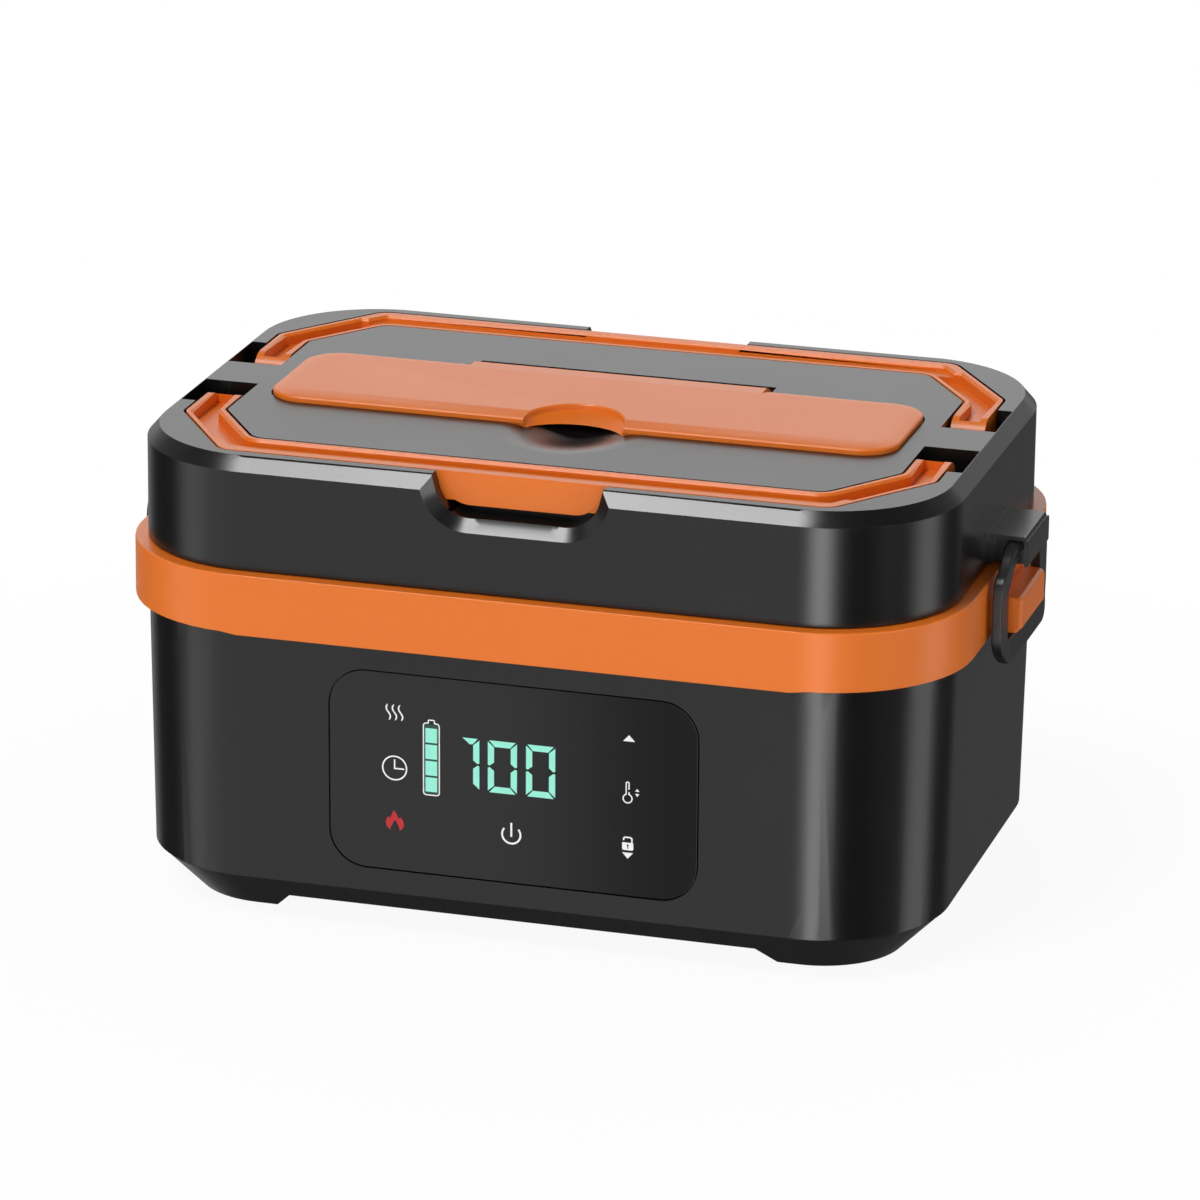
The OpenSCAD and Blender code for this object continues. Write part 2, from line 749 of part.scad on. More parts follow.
// Recess of the rear handle in the lid top, grown by more for the housing under it
module handle_recess(more = 0) {
  translate([0, 0, recess_z - more]) linear_extrude(top_z - recess_z + more + cut)
    handle_plan(recess_gap + more);
  both_ends() translate([arm_inner - recess_gap - more, 10 - more, pivot_recess_z - more])
    cube([arm_width + recess_gap + side_recess + 2 * more, 22 + 2 * more,
      top_z - pivot_recess_z + more + cut]);
}

// Corners of the finger notch in front view, anticlockwise
function notch_corners() = let (low_half = notch_half * 0.62, above = 6)
  [[-low_half, -notch_depth, notch_radius], [low_half, -notch_depth, notch_radius],
    [notch_half, 0, 0], [notch_half, above, 0], [-notch_half, above, 0], [-notch_half, 0, 0]];

// Notch through the rear edge of the lid, flared towards the outside
module finger_notch() {
  inner_y = corner_y + top_reach;
  outer_y = corner_y + lid_reach;
  translate([0, inner_y + cut, top_z]) rotate([90, 0, 0])
    linear_extrude(inner_y - handle_reach + 2 * cut) polygon(rounded(notch_corners()));
  hull() {
    translate([0, inner_y + 0.01, top_z]) rotate([90, 0, 0]) linear_extrude(0.01)
      polygon(rounded(notch_corners()));
    translate([0, outer_y + 0.3, top_z]) rotate([90, 0, 0]) linear_extrude(0.01)
      polygon(rounded(grown(notch_corners(), notch_flare)));
  }
}

// Recess in the lid for the cutlery cover, its hinge and the compartment below
module cover_recess(more = 0) {
  slab(cover_radius + cover_gap + more, cover_z - more, top_z + cut, cover_x, cover_y);
  translate([-cutlery_x - more, -cutlery_y - more, cutlery_z - more])
    cube([2 * (cutlery_x + more), 2 * (cutlery_y + more), cutlery_depth + more]);
  translate([-hinge_length / 2 - 0.5 - more, 0, hinge_z - barrel_radius - 0.6 - more])
    cube([hinge_length + 1 + 2 * more, hinge_recess_back + more,
      top_z - hinge_z + barrel_radius + 2 * cut + more]);
}

// Round block between two levels, which holds the finger scoop under the cover's cut-out
module finger_bowl(low, high, more = 0) {
  translate([0, cutout_y, low]) cylinder(h = high - low, r = bowl_radius + more);
}

// Web between the compartment and the hinge
module hinge_web() {
  translate([-hinge_length, cutlery_y, cutlery_z])
    cube([2 * hinge_length, hinge_recess_front - cutlery_y, cover_z - cutlery_z]);
}

// Bracket on the right end that holds the latch
module latch_bracket() {
  translate([wall_end - cut, bracket_half, bracket_z]) rotate([90, 0, 0]) linear_extrude(2 * bracket_half)
    polygon(rounded([[0, 0, 0], [bracket_reach + cut, 0, 0.8], [bracket_reach + cut, bracket_height - 1, 2],
      [0, bracket_height + 1.6, 0]]));
}

// Recesses in the ends of the bracket and the bore for its pin
module bracket_cuts() {
  front_and_rear() translate([wall_end + 1.4, bracket_half - 2.6, bracket_z - cut])
    cube([bracket_reach - 2.6, 2.6 + cut, bracket_height - 1.2 + cut]);
  translate([bail_pivot_x, 0, bail_pivot_z]) rotate([90, 0, 0])
    cylinder(h = 2 * bracket_half + 2, r = pin_radius, center = true);
}

module lid_shell() {
  color(black) difference() {
    union() {
      slab(lid_reach, lid_z, bevel_z);
      taper(lid_reach, top_reach, bevel_z, top_z);
      both_ends() latch_bracket();
    }
    // The hollow below the top, less the housings of the recesses
    difference() {
      slab(lid_reach - shell, lid_z - cut, top_z - 3.4);
      front_and_rear() handle_recess(recess_floor);
      cover_recess(recess_floor);
      finger_bowl(top_z - scoop_depth - scoop_wall, top_z, scoop_wall);
      at_lid_screws() translate([0, 0, liner_z + liner_thick])
        cylinder(h = lid_height, r = boss_radius + 0.6);
      translate([-notch_half - 8, -corner_y - lid_reach, top_z - notch_depth - notch_flare - 2.4])
        cube([2 * notch_half + 16, 2 * (corner_y + lid_reach), lid_height]);
    }
    front_and_rear() {
      handle_recess();
      finger_notch();
    }
    difference() {
      cover_recess();
      hinge_web();
      finger_bowl(cutlery_z, cover_z);
    }
    translate([0, cutout_y, top_z - scoop_depth + scoop_ball]) sphere(scoop_ball, $fn = 96);
    at_lid_screws() translate([0, 0, liner_z]) cylinder(h = liner_thick + 9, r = screw_radius);
    both_ends() bracket_cuts();
    // Bores for the handle pins and the cover's hinge pin
    both_ends() front_and_rear() translate([arm_inner - 4, pivot_depth, pivot_z]) rotate([0, 90, 0])
      cylinder(h = arm_width + 10, r = pin_radius);
    translate([-hinge_length / 2 - 6, hinge_depth, hinge_z]) rotate([0, 90, 0])
      cylinder(h = hinge_length + 12, r = pin_radius);
  }
}

module lid_liner() {
  color(dark) difference() {
    union() {
      slab(liner_reach, liner_z, liner_z + liner_thick);
      difference() {
        slab(tongue_outer, tongue_z, liner_z + cut);
        slab(tongue_inner, tongue_z - cut, liner_z);
      }
    }
    at_lid_screws() translate([0, 0, liner_z - cut])
      cylinder(h = liner_thick + 2 * cut, r = screw_radius + fit);
  }
}

module lid_seal() {
  color(grey) difference() {
    slab(tongue_outer - 0.2, rim_z + 0.3, tongue_z);
    slab(tongue_inner + 0.2, rim_z, tongue_z + cut);
  }
}

module lid_screws() {
  color(steel) at_lid_screws() {
    translate([0, 0, liner_z - 1.4]) cylinder(h = 1.4, r = screw_radius * 1.9);
    translate([0, 0, liner_z - 0.1]) cylinder(h = 9, r = screw_radius);
  }
}

// ---- Handles ----

// Part of the handle's plan that lies in the arms and the slanted lengths
module arm_plan(d) {
  intersection() {
    handle_plan(d);
    translate([-arm_outer, pivot_depth - pivot_radius + channel_end])
      square([2 * arm_outer, bar_inner - pivot_depth + pivot_radius - channel_end + groove_rim]);
  }
}

// Corners of the finger tab in front view
function tab_corners() = let (low_half = tab_half * 0.78)
  [[-low_half, -tab_height, 8], [low_half, -tab_height, 8], [tab_half, 0, 0], [-tab_half, 0, 0]];

module handle() {
  difference() {
    union() {
      translate([0, 0, top_z - handle_height]) linear_extrude(handle_height) handle_plan();
      both_ends() translate([arm_inner, pivot_depth, pivot_z]) rotate([0, 90, 0])
        cylinder(h = arm_width, r = pivot_radius);
      translate([0, handle_reach, top_z]) rotate([90, 0, 0])
        linear_extrude(4) polygon(rounded(tab_corners()));
    }
    // The end of each arm is round about its pivot
    both_ends() difference() {
      translate([arm_inner - cut, pivot_depth - pivot_radius - cut, top_z - handle_height - cut])
        cube([arm_width + 2 * cut, pivot_radius + cut, handle_height + 2 * cut]);
      translate([arm_inner - 2 * cut, pivot_depth, pivot_z]) rotate([0, 90, 0])
        cylinder(h = arm_width + 4 * cut, r = pivot_radius);
    }
    // Groove all along, and the deeper channel in the arms
    translate([0, 0, top_z - groove_depth]) linear_extrude(groove_depth + cut) intersection() {
      handle_plan(-groove_rim);
      translate([-arm_outer, bend_depth]) square([2 * arm_outer, handle_reach]);
    }
    translate([0, 0, top_z - channel_depth]) linear_extrude(channel_depth + cut) arm_plan(-channel_wall);
    both_ends() translate([arm_inner - cut, pivot_depth, pivot_z]) rotate([0, 90, 0])
      cylinder(h = arm_width + 2 * cut, r = pin_radius + pin_clearance);
  }
}

module rear_handle() {
  color(orange) handle();
}

module front_handle() {
  color(orange) mirror([0, 1, 0]) handle();
}

module handle_pins() {
  color(steel) both_ends() front_and_rear() translate([arm_inner - 3.5, pivot_depth, pivot_z])
    rotate([0, 90, 0]) cylinder(h = arm_width + 9, r = pin_radius);
}

// ---- Cutlery cover ----

module cutlery_cover() {
  flat_back = cover_depth / 2 - cover_bevel;
  tab_front = hinge_depth - barrel_radius + 0.2;
  color(orange) difference() {
    union() {
      slab(cover_radius - cover_gap, cover_z, top_z, cover_x, cover_y);
      taper(cover_radius, cover_radius - cover_bevel, top_z, cover_top, cover_x, cover_y);
      // Hinge tab that runs back from the top into the barrel
      translate([-hinge_length / 2, 0, 0]) rotate([90, 0, 90]) linear_extrude(hinge_length)
        polygon([[flat_back - 2, cover_z], [tab_front, cover_z], [tab_front, hinge_z], [hinge_depth, hinge_z],
          [hinge_depth + barrel_radius * cos(56), hinge_z + barrel_radius * sin(56)],
          [hinge_depth - 2.4, cover_top - 0.5], [hinge_depth - 4, cover_top], [flat_back - 2, cover_top]]);
      translate([-hinge_length / 2, hinge_depth, hinge_z]) rotate([0, 90, 0])
        cylinder(h = hinge_length, r = barrel_radius);
    }
    translate([0, cutout_y, cover_z - cut])
      cylinder(h = cover_sink + cover_rise + 2 * cut, r = cutout_radius);
    translate([0, cutout_y, cover_top - cutout_bevel])
      cylinder(h = cutout_bevel + 0.01, r1 = cutout_radius, r2 = cutout_radius + cutout_bevel);
    translate([-hinge_length / 2 - cut, hinge_depth, hinge_z]) rotate([0, 90, 0])
      cylinder(h = hinge_length + 2 * cut, r = pin_radius + pin_clearance);
  }
}

module cover_pin() {
  color(steel) translate([-hinge_length / 2 - 5.5, hinge_depth, hinge_z]) rotate([0, 90, 0])
    cylinder(h = hinge_length + 11, r = pin_radius);
}

// ---- Latches ----

// Corners of the bail, seen from the end: across and height below the pivot
function bail_corners() = let (low = -bail_drop - crossbar_height, leg = bail_half - leg_width,
    hub_side = bracket_half + 0.3)
  [[-bail_half + bail_chamfer, low, 4], [bail_half - bail_chamfer, low, 4],
    [bail_half, low + bail_chamfer, 5], [bail_half, -4.5, 5],
    [hub_side + 3.7, bail_hub, 2.5], [hub_side, bail_hub, 0], [hub_side, -bail_hub - 1, 1.5],
    [leg, -9, 3], [leg, -bail_drop, 1.5], [-leg, -bail_drop, 1.5], [-leg, -9, 3],
    [-hub_side, -bail_hub - 1, 1.5], [-hub_side, bail_hub, 0], [-hub_side - 3.7, bail_hub, 2.5],
    [-bail_half, -4.5, 5], [-bail_half, low + bail_chamfer, 5]];

// Side view of the bail: straight leg, then a crossbar that kicks outward
module bail_profile() {
  low = -bail_drop - crossbar_height;
  kick_z = -bail_drop + 1.6;
  polygon([[-bail_thick / 2, bail_hub + cut], [bail_thick / 2, bail_hub + cut], [bail_thick / 2, kick_z],
    [bail_thick / 2 + crossbar_kick, low - cut], [bail_thick / 2 + crossbar_kick - 2, low - cut],
    [bail_thick / 2 + 0.2, -bail_drop + 0.2], [-bail_thick / 2, -bail_drop + 2.2]]);
}

module latch() {
  translate([bail_pivot_x, 0, bail_pivot_z]) difference() {
    union() {
      intersection() {
        translate([-10, 0, 0]) rotate([90, 0, 90]) linear_extrude(20) polygon(rounded(bail_corners()));
        rotate([90, 0, 0]) translate([0, 0, -bail_half - cut])
          linear_extrude(2 * bail_half + 2 * cut) bail_profile();
      }
      front_and_rear() translate([0, bracket_half + 3.6, 0]) rotate([90, 0, 0])
        cylinder(h = 3.3, r = bail_hub);
    }
    rotate([90, 0, 0]) cylinder(h = 2 * bail_half, r = pin_radius + pin_clearance, center = true);
  }
}

module latch_right() {
  color(dark) latch();
}

module latch_left() {
  color(dark) mirror([1, 0, 0]) latch();
}

module latch_pins() {
  color(steel) both_ends() translate([bail_pivot_x, 0, bail_pivot_z]) rotate([90, 0, 0])
    cylinder(h = 2 * bracket_half + 6, r = pin_radius, center = true);
}

base_shell();
bottom_cover();
foot_pads();
base_screws();
trim_band();
latch_catches();
control_panel();
digit_display();
display_board();
power_board();
battery_holder();
battery_cells();
inner_well();
heater_plate();
heater_element();
insulation_sheet();
temperature_sensor();
charge_socket();
charge_cover();
food_pot();
pot_lid();
pot_lid_seal();
vent_plug();
lid_shell();
lid_liner();
lid_seal();
lid_screws();
front_handle();
rear_handle();
handle_pins();
cutlery_cover();
cover_pin();
latch_right();
latch_left();
latch_pins();
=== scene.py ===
import json
import math

import bpy
from mathutils import Matrix, Vector


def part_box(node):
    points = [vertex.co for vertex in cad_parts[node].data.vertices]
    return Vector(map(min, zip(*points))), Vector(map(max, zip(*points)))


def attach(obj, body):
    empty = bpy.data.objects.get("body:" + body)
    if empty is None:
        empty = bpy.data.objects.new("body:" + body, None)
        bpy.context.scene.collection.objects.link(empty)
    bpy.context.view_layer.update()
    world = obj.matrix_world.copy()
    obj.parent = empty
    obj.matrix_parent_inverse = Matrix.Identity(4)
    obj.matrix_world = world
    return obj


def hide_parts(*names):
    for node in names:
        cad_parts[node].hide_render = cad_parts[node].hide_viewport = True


bl_info = {
    "name": "Electric lunch box",
    "version": (1, 0, 0),
    "blender": (4, 5, 0),
    "location": "View3D > Sidebar > Lunch box",
    "description": "Dresses the packed model of an electric lunch box and sets it in a small studio",
    "category": "Object",
}

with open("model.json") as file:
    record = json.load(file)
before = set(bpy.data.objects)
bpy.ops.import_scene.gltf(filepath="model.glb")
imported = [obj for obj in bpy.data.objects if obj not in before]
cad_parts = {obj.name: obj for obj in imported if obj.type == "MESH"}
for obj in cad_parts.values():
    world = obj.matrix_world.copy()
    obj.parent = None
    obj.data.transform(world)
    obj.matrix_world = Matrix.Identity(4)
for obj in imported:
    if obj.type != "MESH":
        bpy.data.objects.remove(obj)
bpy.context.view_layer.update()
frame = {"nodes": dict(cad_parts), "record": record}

# All lengths are metres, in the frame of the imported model: +X right, +Y back, +Z up, front at -Y.
MM = 0.001
# Corner centres that every outline in plan shares
CORNER = (82.0 * MM, 44.2 * MM)
# Steps along each rounded corner of such an outline
CORNER_STEPS = 14

# Distance of each outline from the corner centres
BAND_REACH = 43.0 * MM
BAND_INSIDE = 37.8 * MM
# Levels
CREASE = 13.5 * MM
BAND_LOW = 89.5 * MM
BAND_TOP = 107.2 * MM
LID_TOP = 140.8 * MM
# The front wall leans out on its way up
WALL_Y = -(44.2 + 37.8) * MM
WALL_LEAN = math.atan(1.2 / 76)
LENS_CENTRE = 37.4 * MM
PAD_RADIUS = 6 * MM
# Hinge of the cutlery cover, y and z in millimetres, and the half length of its barrel
HINGE, HINGE_HALF = (28.6, 137.8), 45 * MM
# Reach of the food pot's wall at its rim and at its foot
POT_REACH = (24.9 * MM, 22.0 * MM)
# Corner centres of the cutlery cover, and its finger cut-out
COVER_CORNER = (83.8 * MM, 13.5 * MM)
CUTOUT_Y, CUTOUT_BACK = -21.8 * MM, -27.0 * MM
# Half lengths of the finger dish along x and y, and its depth
DISH_REACH, DISH_DEEP = (23.0 * MM, 31.0 * MM), 4.3 * MM
# Depth that every wall of the handles' grooves stays above, below the top of the lid
GROOVE_DEEP = 4.9 * MM
# Half width, in millimetres, within which the latch brackets lie
BRACKET_HALF = 13.5
# Pivot of the latches, x and z in millimetres
PIVOT = (128.85, 113.2)


class LunchBoxSizes(bpy.types.PropertyGroup):
    """Sizes of the small forms that only the dressed model has"""

    edge: bpy.props.FloatProperty(
        name="Edge rounding", description="Radius on the edges of the moulded shells",
        default=0.35 * MM, min=0.05 * MM, max=1.0 * MM, unit="LENGTH", precision=5)
    band_edge: bpy.props.FloatProperty(
        name="Band bevel", description="Bevel along the top edge of the trim band",
        default=0.5 * MM, min=0.2 * MM, max=2.0 * MM, unit="LENGTH", precision=5)
    print_height: bpy.props.FloatProperty(
        name="Print height", description="How far the printed and lit signs stand on the lens",
        default=0.06 * MM, min=0.02 * MM, max=0.3 * MM, unit="LENGTH", precision=5)
    line: bpy.props.FloatProperty(
        name="Sign line", description="Width of the lines that the signs are drawn with",
        default=0.42 * MM, min=0.2 * MM, max=1.0 * MM, unit="LENGTH", precision=5)


class LunchBoxColours(bpy.types.PropertyGroup):
    """Colours of the finishes"""

    shell: bpy.props.FloatVectorProperty(
        name="Shell", description="Black moulded shells", subtype="COLOR", size=3,
        default=(0.004, 0.004, 0.0042), min=0, max=1)
    trim: bpy.props.FloatVectorProperty(
        name="Trim", description="Orange band, handles and cover", subtype="COLOR", size=3,
        default=(0.79, 0.172, 0.012), min=0, max=1)
    lit: bpy.props.FloatVectorProperty(
        name="Lit digits", description="Digits and battery bars behind the lens", subtype="COLOR", size=3,
        default=(0.29, 0.80, 0.63), min=0, max=1)
    flame: bpy.props.FloatVectorProperty(
        name="Flame", description="Heat sign", subtype="COLOR", size=3,
        default=(0.48, 0.012, 0.016), min=0, max=1)
    steel: bpy.props.FloatVectorProperty(
        name="Steel", description="Food pot and screws", subtype="COLOR", size=3,
        default=(0.62, 0.62, 0.61), min=0, max=1)


def sizes():
    return bpy.context.scene.lunch_box_sizes


def colours():
    return bpy.context.scene.lunch_box_colours


# ---- Drawing and modelling ----

def only(obj):
    """Select one object and make it active."""
    bpy.ops.object.select_all(action="DESELECT")
    obj.select_set(True)
    bpy.context.view_layer.objects.active = obj


def edit(obj, kind="VERT"):
    only(obj)
    bpy.ops.object.mode_set(mode="EDIT")
    bpy.ops.mesh.select_mode(type=kind)


def leave():
    bpy.ops.object.mode_set(mode="OBJECT")


def select_none(obj, kind="VERT"):
    """Clear a piece's selection, and set what is selected next."""
    edit(obj, kind)
    bpy.ops.mesh.select_all(action="DESELECT")
    leave()


def apply_modifier(obj, kind, **settings):
    only(obj)
    modifier = obj.modifiers.new(kind.title(), kind)
    for name, value in settings.items():
        setattr(modifier, name, value)
    bpy.ops.object.modifier_apply(modifier=modifier.name)


def face_outwards(obj):
    edit(obj)
    bpy.ops.mesh.select_all(action="SELECT")
    bpy.ops.mesh.remove_doubles(threshold=1e-7)
    bpy.ops.mesh.normals_make_consistent(inside=False)
    leave()


def rounded(corners, turn=8.0):
    """Points of an outline through corners (x, y, radius), with an arc step of about turn degrees."""
    points = []
    count = len(corners)
    for i, (x, y, radius) in enumerate(corners):
        here = Vector((x, y))
        if radius <= 0:
            points.append((x, y))
            continue
        before = (Vector(corners[i - 1][:2]) - here).normalized()
        after = (Vector(corners[(i + 1) % count][:2]) - here).normalized()
        half = before.angle(after) / 2
        centre = here + (before + after).normalized() * radius / math.sin(half)
        start = here + before * radius / math.tan(half) - centre
        side = 1 if before.x * after.y - before.y * after.x < 0 else -1
        swing = (math.pi - 2 * half) * side
        steps = max(2, math.ceil(abs(math.degrees(swing)) / turn))
        for step in range(steps + 1):
            a = swing * step / steps
            points.append((centre.x + start.x * math.cos(a) - start.y * math.sin(a),
                           centre.y + start.x * math.sin(a) + start.y * math.cos(a)))
    return points


def rectangle(half_x, half_y, radius, x=0.0):
    return [(x + half_x, -half_y, radius), (x + half_x, half_y, radius),
            (x - half_x, half_y, radius), (x - half_x, -half_y, radius)]


def reach_ring(reach, level, corner=CORNER, steps=CORNER_STEPS):
    """Points of the outline at a reach from the shared corner centres, at a level."""
    ring = []
    for quarter, (sx, sy) in enumerate(((1, 1), (-1, 1), (-1, -1), (1, -1))):
        for step in range(steps + 1):
            a = math.pi / 2 * (quarter + step / steps)
            ring.append((sx * corner[0] + reach * math.cos(a), sy * corner[1] + reach * math.sin(a), level))
    return ring


def oval(across, deep, level, middle=0.0):
    """Oval about (0, middle) with these half lengths; its level may depend on the place from its middle."""
    points = [(across * x, deep * y) for x, y, z in reach_ring(1.0, 0, (0, 0), 16)]
    return [(x, middle + y, level(x, y) if callable(level) else level) for x, y in points]


def loft(name, profile, corner=CORNER, steps=CORNER_STEPS, closed=False):
    """Solid whose outline follows the shared corner centres, from its profile of (reach, level)."""
    return rings(name, [reach_ring(reach, level, corner, steps) for reach, level in profile], closed)


def in_mm(profile):
    return [tuple(value * MM for value in point) for point in profile]


def renamed(obj, name):
    obj.name = obj.data.name = name
    return obj


def plate(name, points, low, high):
    """Flat plate with that outline between two levels."""
    bpy.ops.object.select_all(action="DESELECT")
    bpy.ops.mesh.primitive_circle_add(vertices=len(points), radius=10 * MM, fill_type="NGON")
    obj = renamed(bpy.context.object, name)
    for vertex, (x, y) in zip(obj.data.vertices, points):
        vertex.co = (x, y, low)
    edit(obj)
    bpy.ops.mesh.select_all(action="SELECT")
    bpy.ops.mesh.extrude_region_move(TRANSFORM_OT_translate={"value": (0, 0, high - low)})
    leave()
    face_outwards(obj)
    return obj


def rings(name, loops, closed=False):
    """Skin over loops that all have the same number of points."""
    bpy.ops.object.select_all(action="DESELECT")
    count = len(loops[0])
    bpy.ops.mesh.primitive_circle_add(vertices=count, radius=10 * MM, fill_type="NOTHING")
    obj = renamed(bpy.context.object, name)
    for vertex, place in zip(obj.data.vertices, loops[0]):
        vertex.co = place
    for i, loop in enumerate(loops[1:], 1):
        select_none(obj)
        for vertex in obj.data.vertices[(i - 1) * count:]:
            vertex.select = True
        for edge in obj.data.edges:
            edge.select = all(v >= (i - 1) * count for v in edge.vertices)
        bpy.ops.object.mode_set(mode="EDIT")
        bpy.ops.mesh.extrude_edges_move(TRANSFORM_OT_translate={"value": (0, 0, 1 * MM)})
        leave()
        for vertex, place in zip(obj.data.vertices[i * count:], loop):
            vertex.co = place
    ends = (0, (len(loops) - 1) * count)
    for start in () if closed else ends:
        select_vertices(obj, range(start, start + count))
        bpy.ops.object.mode_set(mode="EDIT")
        bpy.ops.mesh.edge_face_add()
        leave()
    if closed:
        select_vertices(obj, [*range(count), *range(ends[1], ends[1] + count)])
        for edge in obj.data.edges:
            a, b = sorted(edge.vertices)
            edge.select = b < count or a >= ends[1]
        bpy.ops.object.mode_set(mode="EDIT")
        bpy.ops.mesh.select_mode(type="EDGE")
        bpy.ops.mesh.bridge_edge_loops()
        leave()
    face_outwards(obj)
    return obj


def select_vertices(obj, chosen):
    """Select these vertices, and leave all others out."""
    select_none(obj)
    chosen = set(chosen)
    for vertex in obj.data.vertices:
        vertex.select = vertex.index in chosen


def bevel_edges(obj, test, width, segments=3, among=None):
    """Bevel the edges whose two ends pass test, and which are among these pairs of vertices if any are given."""
    select_none(obj, "EDGE")
    co = [v.co for v in obj.data.vertices]
    for edge in obj.data.edges:
        a, b = sorted(edge.vertices)
        edge.select = (among is None or (a, b) in among) and test(co[a], co[b])
    bpy.ops.object.mode_set(mode="EDIT")
    bpy.ops.mesh.bevel(offset=width, segments=segments, affect="EDGES")
    leave()


def at_level(level, slack=0.01 * MM):
    return lambda a, b: abs(a.z - level) < slack and abs(b.z - level) < slack


def join(objects, name):
    bpy.ops.object.select_all(action="DESELECT")
    for obj in objects:
        obj.select_set(True)
    bpy.context.view_layer.objects.active = objects[0]
    if len(objects) > 1:
        bpy.ops.object.join()
    return renamed(bpy.context.object, name)


def bar_along_x(radius, length):
    """Round bar on the axis of the cutlery cover's hinge."""
    bpy.ops.object.select_all(action="DESELECT")
    bpy.ops.mesh.primitive_cylinder_add(vertices=40, radius=radius, depth=length, rotation=(0, math.radians(90), 0),
                                        location=(0, HINGE[0] * MM, HINGE[1] * MM))
    bpy.ops.object.transform_apply(location=True, rotation=True)
    return bpy.context.object


def copy_of(obj, name, matrix):
    """Own copy of a piece, placed by a matrix that goes into its mesh."""
    only(obj)
    bpy.ops.object.duplicate()
    return put(renamed(bpy.context.object, name), matrix)


def put(obj, matrix):
    """Move a piece by a matrix that goes into its mesh."""
    only(obj)
    obj.matrix_world = matrix
    bpy.ops.object.transform_apply(location=True, rotation=True, scale=True)
    if matrix.determinant() < 0:
        face_outwards(obj)
    return obj


def cut_with(obj, others, operation="DIFFERENCE"):
    """Take the others out of a piece, or join them to it as one solid, and remove them."""
    for other in others:
        apply_modifier(obj, "BOOLEAN", object=other, operation=operation, solver="EXACT")
        bpy.data.objects.remove(other)
    return obj


def drill(obj, radius, low, high, x, y):
    """Upright round hole at x and y, in metres, with its radius and levels in millimetres."""
    hole = loft("hole", in_mm([(radius, low), (radius, high)]), (0.0, 0.0), 10)
    return cut_with(obj, [put(hole, Matrix.Translation((x, y, 0)))])


def fuse(obj, others):
    return cut_with(obj, others, "UNION")


def finish_mesh(obj, width=0.0, segments=2, smooth=38.0):
    """Round a piece's sharp edges by width, and shade it smooth between the edges that stay."""
    edit(obj)
    bpy.ops.mesh.select_all(action="SELECT")
    bpy.ops.mesh.remove_doubles(threshold=2e-6)
    bpy.ops.mesh.dissolve_limited(angle_limit=math.radians(0.4))
    leave()
    if width:
        apply_modifier(obj, "BEVEL", width=width, segments=segments, limit_method="ANGLE",
                       angle_limit=math.radians(30), use_clamp_overlap=True, harden_normals=False,
                       miter_outer="MITER_ARC")
    only(obj)
    bpy.ops.object.shade_smooth_by_angle(angle=math.radians(smooth))
    apply_modifier(obj, "WEIGHTED_NORMAL", keep_sharp=True, weight=60)
    return obj


def merged_copy(node, name, width=0.0, segments=2):
    """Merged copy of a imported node, with its sharp edges rounded."""
    only(frame["nodes"][node])
    bpy.ops.object.duplicate()
    obj = bpy.context.object
    obj.parent = None
    for key in [k for k in obj.keys() if k.startswith("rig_")]:
        del obj[key]
    bpy.ops.mesh.customdata_custom_splitnormals_clear()
    return finish_mesh(renamed(obj, name), width, segments)


def ship(obj, body, slot, *nodes, material=None):
    """Give a piece its finish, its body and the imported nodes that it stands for."""
    obj.data.materials.clear()
    obj.data.materials.append(material or finish(slot))
    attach(obj, body)
    if nodes:
        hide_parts(*nodes)


# ---- Materials ----

FLOAT, COLOUR = "NodeSocketFloat", "NodeSocketColor"


def add_node(tree, kind, settings=(), **values):
    """Shader node with its settings and the values of its inputs, where an underscore stands for a space."""
    node = tree.nodes.new("ShaderNode" + kind)
    for name, value in dict(settings).items():
        setattr(node, name, value)
    for name, value in values.items():
        node.inputs[name.replace("_", " ")].default_value = value
    return node


def mix_colours(tree, **values):
    return add_node(tree, "Mix", {"data_type": "RGBA"}, **values)


def wire(tree, links):
    """Join node outputs to node inputs, given as (node, output, node, input)."""
    for a, out, b, into in links:
        tree.links.new(a.outputs[out], b.inputs[into])


def maths(tree, operation, a=None, b=None, clamp=False):
    node = add_node(tree, "Math", {"operation": operation, "use_clamp": clamp})
    for i, value in enumerate((a, b)):
        if value is None:
            continue
        if isinstance(value, (int, float)):
            node.inputs[i].default_value = value
        else:
            tree.links.new(value, node.inputs[i])
    return node.outputs[0]


def waver(tree, value, amount):
    """Small change about nothing, from a value about a half."""
    return maths(tree, "MULTIPLY", maths(tree, "SUBTRACT", value, 0.5), amount)


def start_group(name, inputs, outputs):
    """New group that takes a place and these inputs, with its input and output nodes."""
    group = bpy.data.node_groups.new(name, "ShaderNodeTree")
    for label, kind, default in [("Vector", "NodeSocketVector", (0, 0, 0)), *inputs]:
        group.interface.new_socket(name=label, in_out="INPUT", socket_type=kind).default_value = default
    for label, kind in outputs:
        group.interface.new_socket(name=label, in_out="OUTPUT", socket_type=kind)
    return group, group.nodes.new("NodeGroupInput"), group.nodes.new("NodeGroupOutput")


